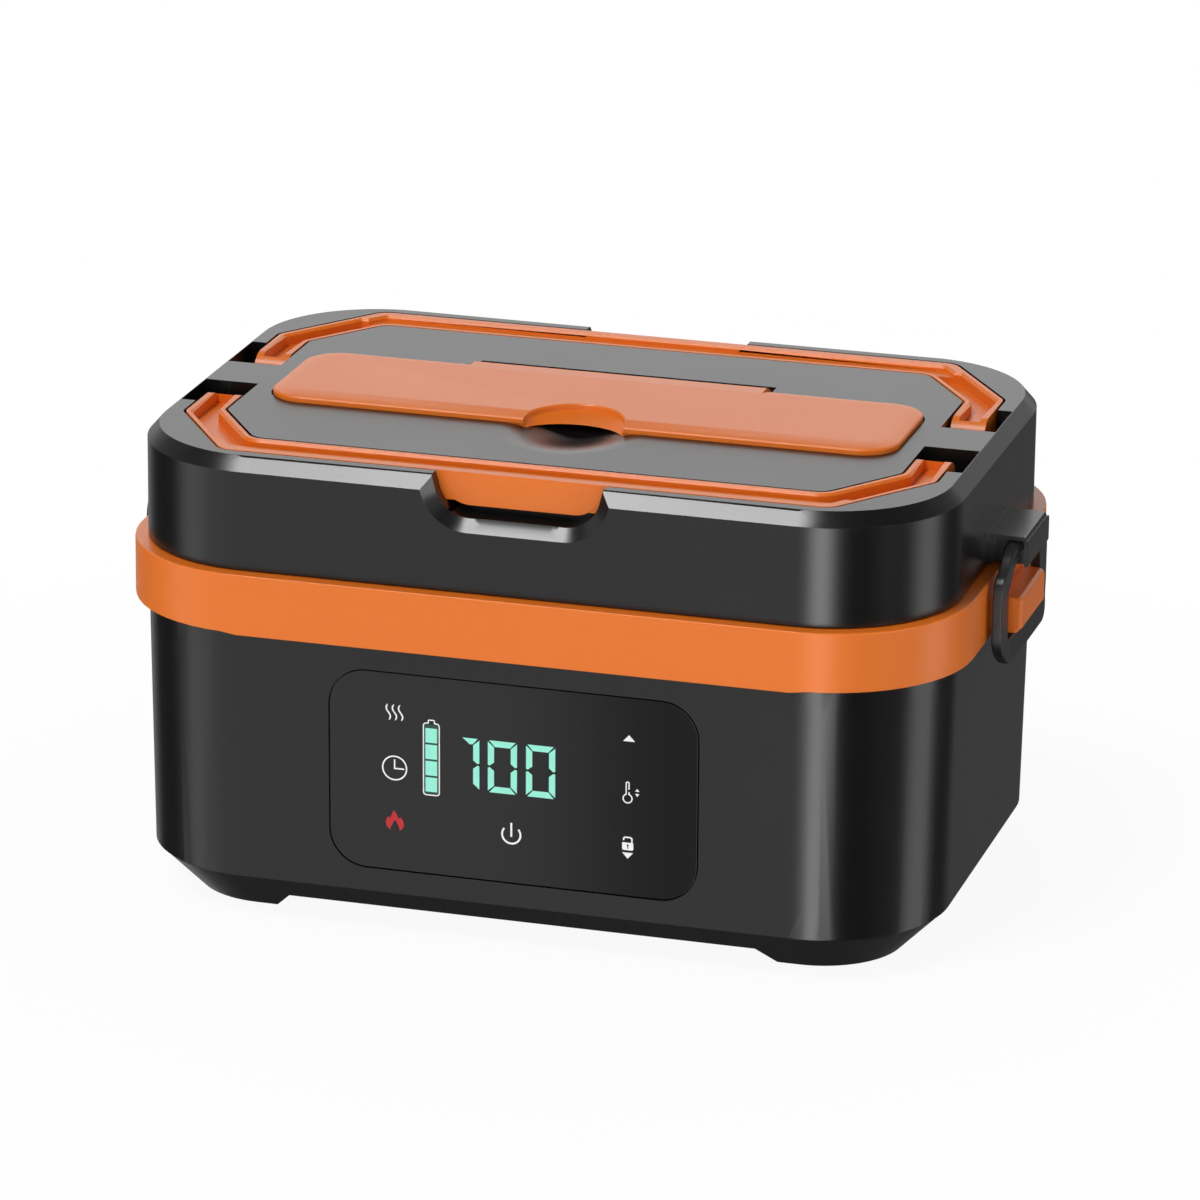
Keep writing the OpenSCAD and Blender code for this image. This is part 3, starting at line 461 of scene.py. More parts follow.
def grain_group(name="Moulded grain"):
    """Fine spark-eroded grain of moulded plastic: a height and a slow mask."""
    if name in bpy.data.node_groups:
        return bpy.data.node_groups[name]
    group, start, end = start_group(name, [("Scale", FLOAT, 2500.0)], [("Height", FLOAT), ("Mask", FLOAT)])
    fine = add_node(group, "TexNoise", Detail=3.0, Roughness=0.6)
    slow = add_node(group, "TexNoise", Scale=22.0, Detail=4.0)
    pits = add_node(group, "TexVoronoi")
    wire(group, [(start, "Vector", fine, "Vector"), (start, "Scale", fine, "Scale"), (start, "Vector", slow, "Vector"),
                 (start, "Vector", pits, "Vector"), (start, "Scale", pits, "Scale"), (slow, 0, end, "Mask")])
    height = maths(group, "ADD", fine.outputs[0], maths(group, "MULTIPLY", pits.outputs["Distance"], 0.35))
    group.links.new(height, end.inputs["Height"])
    return group


def wear_group(name="Rubbed edges"):
    """Colour that is slightly rubbed on edges and handled places."""
    if name in bpy.data.node_groups:
        return bpy.data.node_groups[name]
    group, start, end = start_group(
        name, [("Colour", COLOUR, (0.5, 0.5, 0.5, 1)), ("Rubbed", COLOUR, (0.7, 0.7, 0.7, 1)),
               ("Amount", FLOAT, 0.2), ("Mottle", FLOAT, 0.04)], [("Colour", COLOUR), ("Mask", FLOAT)])
    shape = add_node(group, "NewGeometry")
    edge = add_node(group, "MapRange", From_Min=0.52, From_Max=0.62)
    patches = add_node(group, "TexNoise", Scale=140.0, Detail=5.0)
    cloud = add_node(group, "TexNoise", Scale=9.0)
    mottle = add_node(group, "HueSaturation")
    mix = mix_colours(group)
    wire(group, [(shape, "Pointiness", edge, "Value"), (start, "Vector", patches, "Vector"),
                 (start, "Vector", cloud, "Vector"), (start, "Colour", mottle, "Color"), (mottle, 0, mix, "A"),
                 (start, "Rubbed", mix, "B"), (mix, "Result", end, "Colour")])
    mask = maths(group, "MULTIPLY", maths(group, "MULTIPLY", edge.outputs[0], patches.outputs[0]),
                 start.outputs["Amount"], clamp=True)
    shift = waver(group, cloud.outputs[0], start.outputs["Mottle"])
    group.links.new(maths(group, "ADD", shift, 1.0), mottle.inputs["Value"])
    for socket in (mix.inputs["Factor"], end.inputs["Mask"]):
        group.links.new(mask, socket)
    return group


def brushed_group(name="Drawn lines"):
    """Fine drawn lines along x: a height and a mask."""
    if name in bpy.data.node_groups:
        return bpy.data.node_groups[name]
    group, start, end = start_group(name, [("Scale", FLOAT, 900.0)], [("Height", FLOAT), ("Mask", FLOAT)])
    stretch = add_node(group, "Mapping", Scale=(0.02, 1.0, 1.0))
    lines = add_node(group, "TexNoise", Detail=4.0)
    slow = add_node(group, "TexNoise", Scale=30.0)
    wire(group, [(start, "Vector", stretch, "Vector"), (stretch, 0, lines, "Vector"),
                 (start, "Scale", lines, "Scale"), (start, "Vector", slow, "Vector"),
                 (lines, 0, end, "Height"), (slow, 0, end, "Mask")])
    return group


def new_material(name):
    """Material with its shader, and a node that reads the piece's own coordinates."""
    material = bpy.data.materials.new(name)
    material.use_nodes = True
    tree = material.node_tree
    return material, tree, tree.nodes["Principled BSDF"], add_node(tree, "TexCoord")


def place_group(tree, group, place, **values):
    node = tree.nodes.new("ShaderNodeGroup")
    node.node_tree = group
    tree.links.new(place.outputs["Object"], node.inputs["Vector"])
    for name, value in values.items():
        node.inputs[name].default_value = value
    return node


def relief(tree, shader, height, strength):
    """Shallow bump from a height."""
    bump = add_node(tree, "Bump", Strength=strength, Distance=0.05 * MM)
    tree.links.new(height, bump.inputs["Height"])
    tree.links.new(bump.outputs[0], shader.inputs["Normal"])


def moulded(name, colour, roughness, grain=2500.0, bump=0.02, rub=0.15, rubbed=None, mottle=0.04, spread=0.10):
    """Moulded plastic or rubber: fine grain, slow change in gloss, and lightly rubbed edges."""
    material, tree, shader, place = new_material(name)
    rubbed = rubbed or [min(1.0, c * 1.5 + 0.02) for c in colour]
    wear = place_group(tree, wear_group(), place, Colour=(*colour, 1), Rubbed=(*rubbed, 1), Amount=rub, Mottle=mottle)
    skin = place_group(tree, grain_group(), place, Scale=grain)
    tree.links.new(wear.outputs["Colour"], shader.inputs["Base Color"])
    rough = maths(tree, "ADD", maths(tree, "ADD", waver(tree, skin.outputs["Mask"], spread), roughness),
                  maths(tree, "MULTIPLY", wear.outputs["Mask"], -0.12), clamp=True)
    tree.links.new(rough, shader.inputs["Roughness"])
    relief(tree, shader, skin.outputs["Height"], bump)
    return material


def metal(name, colour, roughness, scale=900.0, bump=0.03):
    """Drawn or turned metal with fine lines."""
    material, tree, shader, place = new_material(name)
    lines = place_group(tree, brushed_group(), place, Scale=scale)
    wear = place_group(tree, wear_group(), place, Colour=(*colour, 1),
                       Rubbed=(*[min(1.0, c * 1.2) for c in colour], 1), Amount=0.4, Mottle=0.06)
    tree.links.new(wear.outputs["Colour"], shader.inputs["Base Color"])
    change = maths(tree, "ADD", waver(tree, lines.outputs["Height"], 0.22), waver(tree, lines.outputs["Mask"], 0.10))
    tree.links.new(maths(tree, "ADD", change, roughness), shader.inputs["Roughness"])
    relief(tree, shader, lines.outputs["Height"], bump)
    shader.inputs["Metallic"].default_value = 1.0
    return material


def smoked_lens(name):
    """Smoked touch lens: black, with a painted reflection in its colour that leaves it a little paler at its left and
    near black at its right.
    """
    material, tree, shader, place = new_material(name)
    apart = add_node(tree, "SeparateXYZ")
    # Painted reflection: the base colour darkens from the lens's left side to its right side
    fade = add_node(tree, "MapRange", {"interpolation_type": "SMOOTHSTEP"}, From_Min=-8 * MM, From_Max=50 * MM)
    shade = mix_colours(tree, A=(0.024, 0.024, 0.0245, 1), B=(0.003, 0.003, 0.0032, 1))
    wire(tree, [(place, "Object", apart, 0), (apart, "X", fade, "Value"), (fade, 0, shade, "Factor"),
                (shade, "Result", shader, "Base Color")])
    skin = place_group(tree, grain_group(), place, Scale=1200.0)
    tree.links.new(maths(tree, "ADD", waver(tree, skin.outputs["Mask"], 0.05), 0.22), shader.inputs["Roughness"])
    shader.inputs["Specular IOR Level"].default_value = 0.22
    return material


def lit_material(name, colour, glow):
    """Ink or diffuser that the light behind the lens shines through."""
    material, tree, shader, place = new_material(name)
    cloud = add_node(tree, "TexNoise", Scale=420.0)
    shade = mix_colours(tree, A=(*[c * 0.93 for c in colour], 1), B=(*[min(1.0, c * 1.05) for c in colour], 1))
    wire(tree, [(place, "Object", cloud, "Vector"), (cloud, 0, shade, "Factor"),
                (shade, "Result", shader, "Base Color"), (shade, "Result", shader, "Emission Color")])
    shader.inputs["Emission Strength"].default_value = glow
    shader.inputs["Roughness"].default_value = 0.45
    return material


def circuit_board(name):
    """Circuit board: green resist with tracks and pads."""
    material, tree, shader, place = new_material(name)
    tracks = add_node(tree, "TexBrick", Scale=260.0, Color1=(0.012, 0.10, 0.045, 1), Color2=(0.016, 0.13, 0.06, 1),
                      Mortar=(0.03, 0.2, 0.1, 1))
    pads = add_node(tree, "TexVoronoi", Scale=220.0)
    mix = mix_colours(tree, B=(0.55, 0.5, 0.38, 1))
    wire(tree, [(place, "Object", tracks, "Vector"), (place, "Object", pads, "Vector"), (tracks, "Color", mix, "A"),
                (mix, "Result", shader, "Base Color")])
    edge = maths(tree, "LESS_THAN", pads.outputs["Distance"], 0.22)
    for socket in (mix.inputs["Factor"], shader.inputs["Metallic"]):
        tree.links.new(edge, socket)
    shader.inputs["Roughness"].default_value = 0.35
    return material


PALE_PLASTIC = (moulded, "Pale plastic", (0.62, 0.62, 0.60), 0.38, {"grain": 2000.0, "mottle": 0.05})
# For each slot of the record: its maker, the material's name, then for most its colour or the name of a colour
# setting, its roughness and what differs from the maker's own values
FINISHES = {
    "black_shell": (moulded, "Black shell", "shell", 0.27, {"bump": 0.015, "rub": 0.10, "spread": 0.04}),
    "dark_plastic": (moulded, "Dark plastic", (0.014, 0.014, 0.015), 0.33, {"grain": 1800.0, "bump": 0.03}),
    "orange_plastic": (moulded, "Orange trim", "trim", 0.36,
                       {"bump": 0.015, "rub": 0.12, "spread": 0.05, "rubbed": (0.92, 0.33, 0.10), "mottle": 0.03}),
    "panel_lens": (smoked_lens, "Smoked lens"),
    "lit_display": PALE_PLASTIC,
    "soft_rubber": (moulded, "Soft rubber", (0.012, 0.012, 0.012), 0.62,
                    {"grain": 1400.0, "bump": 0.06, "rub": 0.3, "rubbed": (0.05, 0.05, 0.05)}),
    "silicone": (moulded, "Pale silicone", (0.52, 0.53, 0.53), 0.5, {"grain": 1500.0, "bump": 0.03, "mottle": 0.08}),
    "steel": (metal, "Drawn steel", "steel", 0.28, {}),
    "aluminium": (metal, "Cast aluminium", (0.55, 0.56, 0.57), 0.42, {"scale": 500.0, "bump": 0.08}),
    "board": (circuit_board, "Circuit board"),
    "cell_wrap": (moulded, "Cell wrap", (0.02, 0.10, 0.28), 0.3, {"grain": 900.0, "bump": 0.03, "mottle": 0.1}),
    "pale_plastic": PALE_PLASTIC,
    "insulation": (moulded, "Insulation felt", (0.55, 0.52, 0.45), 0.9,
                   {"grain": 500.0, "bump": 0.5, "mottle": 0.3, "spread": 0.05}),
}


def finish(slot):
    """Material of a slot, made the first time that a piece asks for it."""
    make, name, *rest = FINISHES[slot]
    if name in bpy.data.materials:
        return bpy.data.materials[name]
    if not rest:
        return make(name)
    colour, roughness, more = rest
    return make(name, getattr(colours(), colour) if isinstance(colour, str) else colour, roughness, **more)


# ---- Base ----

class LUNCHBOX_OT_base(bpy.types.Operator):
    """Base shell, bottom cover and feet"""

    bl_idname = "lunchbox.base"
    bl_label = "Base"

    def execute(self, context):
        for node, name in (("base_shell", "base_wall"), ("bottom_cover", "plinth")):
            shell = cut_with(merged_copy(node, name), [self.crease()])
            ship(finish_mesh(shell, sizes().edge), "base", "black_shell", node)
        low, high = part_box("foot_pads")
        places = [(sx * (high.x - PAD_RADIUS), sy * (high.y - PAD_RADIUS), low.z) for sx in (-1, 1) for sy in (-1, 1)]
        pads = join([self.pad(place) for place in places], "rubber_pads")
        ship(pads, "base", "soft_rubber", "foot_pads")
        return {"FINISHED"}

    def crease(self):
        """Ring that cuts the shadow line between the wall and the plinth."""
        return rings("crease", [reach_ring(*point) for point in in_mm(
            [(37.0, 12.97), (39.5, 12.9), (39.5, 13.75), (37.0, 13.68)])], closed=True)

    def pad(self, place):
        """One pad: a domed disc with a ring pressed into its face."""
        thick = 1.6 * MM
        bpy.ops.object.select_all(action="DESELECT")
        bpy.ops.mesh.primitive_cylinder_add(vertices=40, radius=PAD_RADIUS, depth=thick,
                                            location=(place[0], place[1], place[2] + thick / 2))
        pad = bpy.context.object
        bpy.ops.object.transform_apply(location=True)
        select_none(pad, "FACE")
        for face in pad.data.polygons:
            face.select = face.normal.z < -0.9
        bpy.ops.object.mode_set(mode="EDIT")
        bpy.ops.mesh.inset(thickness=1.4 * MM)
        bpy.ops.mesh.inset(thickness=0.5 * MM, depth=-0.25 * MM)
        bpy.ops.mesh.inset(thickness=0.5 * MM, depth=0.25 * MM)
        leave()
        return finish_mesh(pad, 0.15 * MM)


# ---- Trim band ----

class LUNCHBOX_OT_band(bpy.types.Operator):
    """Orange trim band and the catches on its ends"""

    bl_idname = "lunchbox.band"
    bl_label = "Trim band"

    def execute(self, context):
        edge = sizes().band_edge
        profile = [(BAND_INSIDE, BAND_LOW), (BAND_REACH - 0.5 * MM, BAND_LOW),
                   (BAND_REACH - 0.12 * MM, BAND_LOW + 0.14 * MM), (BAND_REACH, BAND_LOW + 0.5 * MM),
                   (BAND_REACH, BAND_TOP - edge - 0.1 * MM), (BAND_REACH - 0.15 * edge, BAND_TOP - 0.5 * edge),
                   (BAND_REACH - 0.5 * edge, BAND_TOP - 0.15 * edge),
                   (BAND_REACH - edge - 0.1 * MM, BAND_TOP), (BAND_INSIDE, BAND_TOP)]
        band = rings("trim_hoop", [reach_ring(*p) for p in profile], closed=True)
        self.lower_the_straights(band)
        ship(finish_mesh(band), "base", "orange_plastic", "trim_band")
        right = self.catch()
        left = copy_of(right, "catch_left", Matrix.Scale(-1, 4, (1, 0, 0)))
        catches = join([right, left], "latch_catch_blocks")
        ship(finish_mesh(catches), "base", "orange_plastic", "latch_catches")
        return {"FINISHED"}

    def lower_the_straights(self, band):
        """The lower edge hangs a little lower along the straight front and back."""
        drop = 0.6 * MM
        for vertex in band.data.vertices:
            x, y, z = vertex.co
            if z < BAND_LOW + 1 * MM and abs(abs(x) - CORNER[0]) < 0.01 * MM and abs(y) > CORNER[1] + 30 * MM:
                vertex.co.z -= drop

    def catch(self):
        low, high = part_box("latch_catches")
        start, out = BAND_REACH + CORNER[0] - 1 * MM, high.x
        side = rounded([(start, low.z, 0), (out - 1.8 * MM, low.z, 0.5 * MM), (out, low.z + 1.8 * MM, 0.8 * MM),
                        (out, high.z, 1.6 * MM), (start, high.z, 0)])
        block = plate("catch_right", side, -high.y, high.y)
        put(block, Matrix.Rotation(math.radians(90), 4, "X"))
        bevel_edges(block, lambda a, b: abs(abs(a.y) - high.y) < 1e-6 and abs(abs(b.y) - high.y) < 1e-6
                    and a.y * b.y > 0 and min(a.x, b.x) > start + 0.1 * MM, 0.9 * MM, 4)
        return block


# ---- Control panel ----

def lens_matrix(out=0.0):
    """Place on the lens: x right, y up from its middle, z out of the wall."""
    wall = Matrix.Translation((0, WALL_Y, CREASE)) @ Matrix.Rotation(math.radians(90) + WALL_LEAN, 4, "X")
    return wall @ Matrix.Translation((0, LENS_CENTRE, out))


def sign(points, name="sign"):
    return plate(name, in_mm(points), 0, sizes().print_height)


def stroke(points, width, closed=False, taper=0):
    """Line through points, in millimetres, that narrows over its last few points if it has a taper."""
    count = len(points)
    bpy.ops.object.select_all(action="DESELECT")
    bpy.ops.mesh.primitive_grid_add(x_subdivisions=count - (0 if closed else 1), y_subdivisions=1, size=1 * MM)
    obj = bpy.context.object
    obj.name = "line"
    total = count + (1 if closed else 0)
    for i in range(total):
        here = Vector(points[i % count])
        before = Vector(points[(i - 1) % count]) if closed or i > 0 else here
        after = Vector(points[(i + 1) % count]) if closed or i < count - 1 else here
        u = (here - before).normalized() if (here - before).length > 1e-9 else (after - here).normalized()
        v = (after - here).normalized() if (after - here).length > 1e-9 else u
        normal = Vector((-(u.y + v.y), u.x + v.x))
        normal = normal / max(1 + u.dot(v), 0.35)
        thin = min(1.0, (min(i, count - 1 - i) + 1.2) / (taper + 1.2)) if taper else 1.0
        for row, side in ((0, -0.5), (1, 0.5)):
            p = here + normal * side * width * thin
            obj.data.vertices[row * total + i].co = (p.x * MM, p.y * MM, 0)
    edit(obj)
    bpy.ops.mesh.select_all(action="SELECT")
    bpy.ops.mesh.remove_doubles(threshold=1e-7)
    bpy.ops.mesh.extrude_region_move(TRANSFORM_OT_translate={"value": (0, 0, sizes().print_height)})
    leave()
    face_outwards(obj)
    return obj


def arc(cx, cy, radius, start, stop, steps=24):
    return [(cx + radius * math.cos(math.radians(start + (stop - start) * i / steps)),
             cy + radius * math.sin(math.radians(start + (stop - start) * i / steps))) for i in range(steps + 1)]


# Foot and top of the digits, width of their bars and gap between these, in millimetres
DIGIT = (-2.9, 12.9, 1.85, 0.22)


class LUNCHBOX_OT_panel(bpy.types.Operator):
    """Touch lens with its printed signs and lit digits"""

    bl_idname = "lunchbox.panel"
    bl_label = "Control panel"

    # Signs are placed in millimetres from the middle of the lens.
    def execute(self, context):
        lens = plate("touch_lens", rounded(rectangle(54.9 * MM, 30.05 * MM, 11 * MM), 5.0), -1.8 * MM, 0)
        bevel_edges(lens, at_level(0), 0.25 * MM, 2)
        put(lens, lens_matrix())
        ship(finish_mesh(lens), "base", "panel_lens", "control_panel")
        self.place(self.white_signs(), "printed_signs", lit_material("White print", (0.86, 0.86, 0.85), 0.08))
        self.place(self.digits() + self.charge_bars(), "lit_digits", lit_material("Lit digits", colours().lit, 0.12))
        backing = sign([(-26.3, -5.35), (-22.3, -5.35), (-22.3, 15.65), (-26.3, 15.65)])
        self.place([backing], "charge_backing", lit_material("Unlit bars", (0.004, 0.05, 0.035), 0.1), -0.02 * MM)
        self.place(self.flame(), "heat_sign", lit_material("Heat print", colours().flame, 0.08))
        return {"FINISHED"}

    def place(self, parts, name, material, out=0.01 * MM):
        piece = join(parts, name)
        put(piece, lens_matrix(out))
        ship(piece, "base", "lit_display", material=material)

    def white_signs(self):
        line = sizes().line / MM
        parts = []
        for x in (-37.2, -35.35, -33.5):
            wave = [(x + 0.62 * math.cos(2 * math.pi * (t / 18 - 0.22) / 1.1), 15.9 + 4.8 * t / 18) for t in range(19)]
            parts.append(stroke(wave, line, taper=2))
        parts.append(stroke(arc(-35.35, 1.3, 3.6, 0, 360, 56)[:-1], line, closed=True))
        parts.append(stroke([(-35.35, 3.95), (-35.35, 1.2), (-32.5, 1.2)], line))
        case = rounded([(-26.65, -5.8, 0.8), (-21.9, -5.8, 0.8), (-21.9, 16.1, 0.8), (-23.35, 16.1, 0.1),
                        (-23.35, 17.1, 0.3), (-25.2, 17.1, 0.3), (-25.2, 16.1, 0.1), (-26.65, 16.1, 0.8)], 30)
        parts.append(stroke(case, 0.34, closed=True))
        parts.append(stroke(arc(-0.3, -15.2, 2.75, 140, 400, 40), 0.55))
        parts.append(stroke([(-0.3, -15.9), (-0.3, -11.6)], 0.55))
        parts.append(sign([(32.8, 17.1), (36.3, 17.1), (34.55, 19.0)]))
        parts += self.thermometer(34.25, -0.25)
        for corners in ([(36.45, 2.15), (37.75, 2.15), (37.1, 2.95)], [(36.45, 1.45), (37.1, 0.5), (37.75, 1.45)]):
            parts.append(sign(corners))
        parts += self.padlock(34.4, -14.8)
        parts.append(sign([(32.75, -16.75), (34.4, -18.6), (36.05, -16.75)]))
        return parts

    def thermometer(self, x, y):
        """Tube with a ring bulb, drawn in one line with a small gap at its right."""
        outline = [(x + 0.42, y + 2.0), (x + 0.42, y + 1.25)] + arc(x, y, 1.32, 71, -251, 30)
        outline += [(x - 0.42, y + 4.6)] + arc(x, y + 4.6, 0.42, 180, 0, 8) + [(x + 0.42, y + 2.75)]
        return [stroke(outline, 0.36)]

    def padlock(self, x, y):
        """Closed padlock with a keyhole, and a flat shackle that is cut at its left."""
        body = sign(rounded([(x - 1.65, y - 1.2, 0.45), (x + 1.65, y - 1.2, 0.45), (x + 1.65, y + 1.1, 0.15),
                             (x - 1.65, y + 1.1, 0.15)], 30))
        hole = [(x + u, y + v) for u, v in (
            (-0.16, -0.75), (0.16, -0.75), (0.14, -0.05), (0.32, 0.2), (0.2, 0.55), (-0.2, 0.55), (-0.32, 0.2),
            (-0.14, -0.05))]
        cut_with(body, [plate("keyhole", in_mm(hole), -1 * MM, 1 * MM)])
        shackle = stroke([(x - 1.2, y + 1.75), (x - 1.2, y + 2.35), (x - 0.8, y + 2.7), (x + 0.85, y + 2.7),
                          (x + 1.25, y + 2.3), (x + 1.25, y + 1.05)], 0.42)
        return [body, shackle]

    def digits(self):
        low, top, width, gap = DIGIT
        parts = []
        for left, right in ((-7.35, 1.35), (4.05, 12.75)):
            bar = [(left + gap + 0.2, top), (right - gap - 0.2, top), (right - width - gap, top - width),
                   (left + width + gap, top - width)]
            parts += self.sides(right, left) + [sign(bar), sign([(x, low + top - y) for x, y in bar])]
        right = -9.9
        flag = [(-14.9, top), (right - 0.5, top), (right - width - 0.1, top - width + 0.1),
                (right - width - 1.0, top - width)]
        return parts + self.sides(right) + [sign(flag)]

    def sides(self, right, left=None):
        """The two right-hand bars of a digit, with slanted ends, and their images at its left if that is given."""
        low, top, width, gap = DIGIT
        middle, inner = (low + top) / 2, right - width
        upper = [(right, top - gap - 0.2), (right, middle + 0.45), (right - 0.55, middle + 0.25), (inner, middle + 1.3),
                 (inner, top - width - gap)]
        bars = [upper, [(x, low + top - y) for x, y in upper]]
        if left is not None:
            bars += [[(left + right - x, y) for x, y in bar] for bar in bars]
        return [sign(bar) for bar in bars]

    def charge_bars(self):
        return [sign([(-26.05, low), (-22.55, low), (-22.55, low + 4.4), (-26.05, low + 4.4)])
                for low in (-4.8, 0.2, 5.2, 10.2)]

    def flame(self):
        """A-shaped flame of two tongues, open at its foot."""
        x, y = -35.35, -14.8
        outer = [(-1.3, -3.0), (-2.4, -2.0), (-2.75, -0.8), (-2.35, 0.7), (-1.75, 1.1), (-1.45, 0.35), (-1.0, 1.6),
                 (-0.35, 3.05), (0.25, 2.5), (0.75, 1.5), (1.25, 0.6), (1.75, 1.15), (2.45, 0.1), (2.8, -1.1),
                 (2.35, -2.3), (1.45, -3.05), (1.3, -1.9), (0.75, -0.8), (0.15, 0.1), (-0.35, -0.35), (-0.75, -1.3),
                 (-1.25, -2.0)]
        return [sign([(x + u, y + v) for u, v in outer])]


# ---- Lid ----

class LUNCHBOX_OT_lid(bpy.types.Operator):
    """Lid shell, liner and seal"""

    bl_idname = "lunchbox.lid"
    bl_label = "Lid"

    def execute(self, context):
        shell = merged_copy("lid_shell", "lid_top")
        self.level_brackets(shell)
        narrow = DISH_REACH[0] / DISH_REACH[1]
        loops = [oval(narrow * r * MM, r * MM, self.dish, CUTOUT_Y) for r in (0.6, *range(2, 33, 2))]
        loops += [[(x, y, LID_TOP + 3 * MM) for x, y, z in loops[i]] for i in (-1, 0)]
        notches = [cutter for side in (1, -1) for cutter in self.notch(side)]
        cut_with(shell, [rings("scoop", loops)] + notches)
        bevel_edges(shell, self.on_the_brow, 0.7 * MM, 3)
        ship(finish_mesh(shell, sizes().edge), "lid", "black_shell", "lid_shell")
        self.finger_dish()
        ship(merged_copy("lid_liner", "lid_underside", sizes().edge), "lid", "dark_plastic", "lid_liner")
        seal = loft("lid_gasket", in_mm([
            (34.1, 103.4), (34.1, 102.2), (34.4, 101.85), (34.75, 101.9), (34.9, 102.3), (35.3, 102.3),
            (35.45, 101.9), (35.8, 101.85), (36.1, 102.2), (36.1, 103.4)]), closed=True)
        ship(finish_mesh(seal), "lid", "silicone", "lid_seal")
        return {"FINISHED"}

    def on_the_brow(self, a, b):
        """Whether an edge lies where the top of the lid meets its bevel, along the front or the rear."""
        return all(abs(p.z - LID_TOP) < 0.01 * MM and abs(p.x) < CORNER[0] + 0.05 * MM
                   and abs(abs(p.y) - CORNER[1] - 35.7 * MM) < 0.05 * MM for p in (a, b))

    def level_brackets(self, shell):
        """The tops of the latch brackets run almost level, over a rim of even thickness."""
        # Least x, lowest and highest level of the corners that move, and their new level
        moves = ((121.1, 119.3, 120.0, 117.5), (122.4, 116.6, 116.95, 116.1))
        for vertex in shell.data.vertices:
            x, y, z = (abs(value) / MM for value in vertex.co)
            for least_x, lowest, highest, level in moves:
                if x > least_x and y < BRACKET_HALF and lowest < z < highest:
                    vertex.co.z = level * MM
                    break

    def notch(self, side):
        """Cutters of a finger notch: steep sides with round corners, and a flare as steep as the lid's bevel."""
        start, wall, steep = 80.35, 83.4, 1.143

        def outline(more, y):
            """Outline of the notch at y, grown by more on all sides."""
            half, foot, rim = 22.2 + more * 0.78, -12.0 - more, 25.3 + more * 1.03
            corners = [(-half, foot, 10.5 + more), (half, foot, 10.5 + more), (rim, 0, 0), (rim, 6, 0), (-rim, 6, 0),
                       (-rim, 0, 0)]
            return [(x * MM, -side * y * MM, LID_TOP + z * MM) for x, z in rounded(corners, 8.0)]

        return [rings("through", [outline(0, y) for y in (70.0, 81.0)]),
                rings("flare", [outline((y - start) * steep, y) for y in (start - 0.02, wall + 1.0)])]

    def dish(self, x, y):
        """Level of the finger dish at a place, measured from its middle."""
        out = min(math.hypot(x / DISH_REACH[0], y / DISH_REACH[1]), 1.0)
        return LID_TOP + 0.004 * MM - DISH_DEEP * (1 - out) ** 2.4 * (1 + 2.4 * out)

    def finger_dish(self):
        """Middle of the dish that fades into the top of the lid, over the deeper bowl below the cover's cut-out."""
        def top(x, y):
            """The dish's own level, and below the cover clear of its underside."""
            sink = 0.06 * MM if math.hypot(x, y) > 19.5 * MM else 0
            return min(self.dish(x, y) - sink, 139.2 * MM if y > -0.6 * MM else LID_TOP)

        loops = [oval(r, r, level, CUTOUT_Y) for r, level in in_mm([(0.6, 134.6), (12, 135.6), (19.6, 138.6)])]
        loops += [oval(r * MM, r * MM, top, CUTOUT_Y) for r in (19.6, 19.3, *range(18, 0, -2), 0.6)]
        dish = rings("finger_dish", loops)
        cut_with(dish, [loft("pocket", in_mm([(11.5, 139.35), (11.5, 142)]), COVER_CORNER, 10)])
        ship(finish_mesh(dish, smooth=30.0), "lid", "black_shell")


# ---- Handles ----

class LUNCHBOX_OT_handles(bpy.types.Operator):
    """The two carrying handles"""

    bl_idname = "lunchbox.handles"
    bl_label = "Handles"

    def execute(self, context):
        for node, name, side in (("rear_handle", "rear_grip", 1), ("front_handle", "front_grip", -1)):
            grip = fuse(merged_copy(node, name), [self.tab(side)])
            self.open_the_groove(grip)
            ship(finish_mesh(grip, 0.3 * MM), node, "orange_plastic", node)
        return {"FINISHED"}

    def open_the_groove(self, grip):
        """Slope the inner edges of the groove, which leaves narrow rims."""
        inside = set()
        for face in grip.data.polygons:
            levels = [grip.data.vertices[v].co.z for v in face.vertices]
            if abs(face.normal.z) < 0.1 and abs(max(levels) - LID_TOP) < 0.02 * MM \
                    and min(levels) > LID_TOP - GROOVE_DEEP:
                inside.update(tuple(sorted(key)) for key in face.edge_keys)
        bevel_edges(grip, at_level(LID_TOP, 0.02 * MM), 0.75 * MM, 1, inside)

    def tab(self, side):
        """Finger tab that fills the notch, with steep sides and round corners."""
        corners = rounded([(-21.7, -9.6, 8.2), (21.7, -9.6, 8.2), (24.15, -0.6, 0), (-24.15, -0.6, 0)])
        tab = plate("tab", in_mm(corners), -75.6 * side * MM, -71.4 * side * MM)
        return put(tab, Matrix.Translation((0, 0, LID_TOP)) @ Matrix.Rotation(math.radians(90), 4, "X"))


# ---- Cutlery cover ----

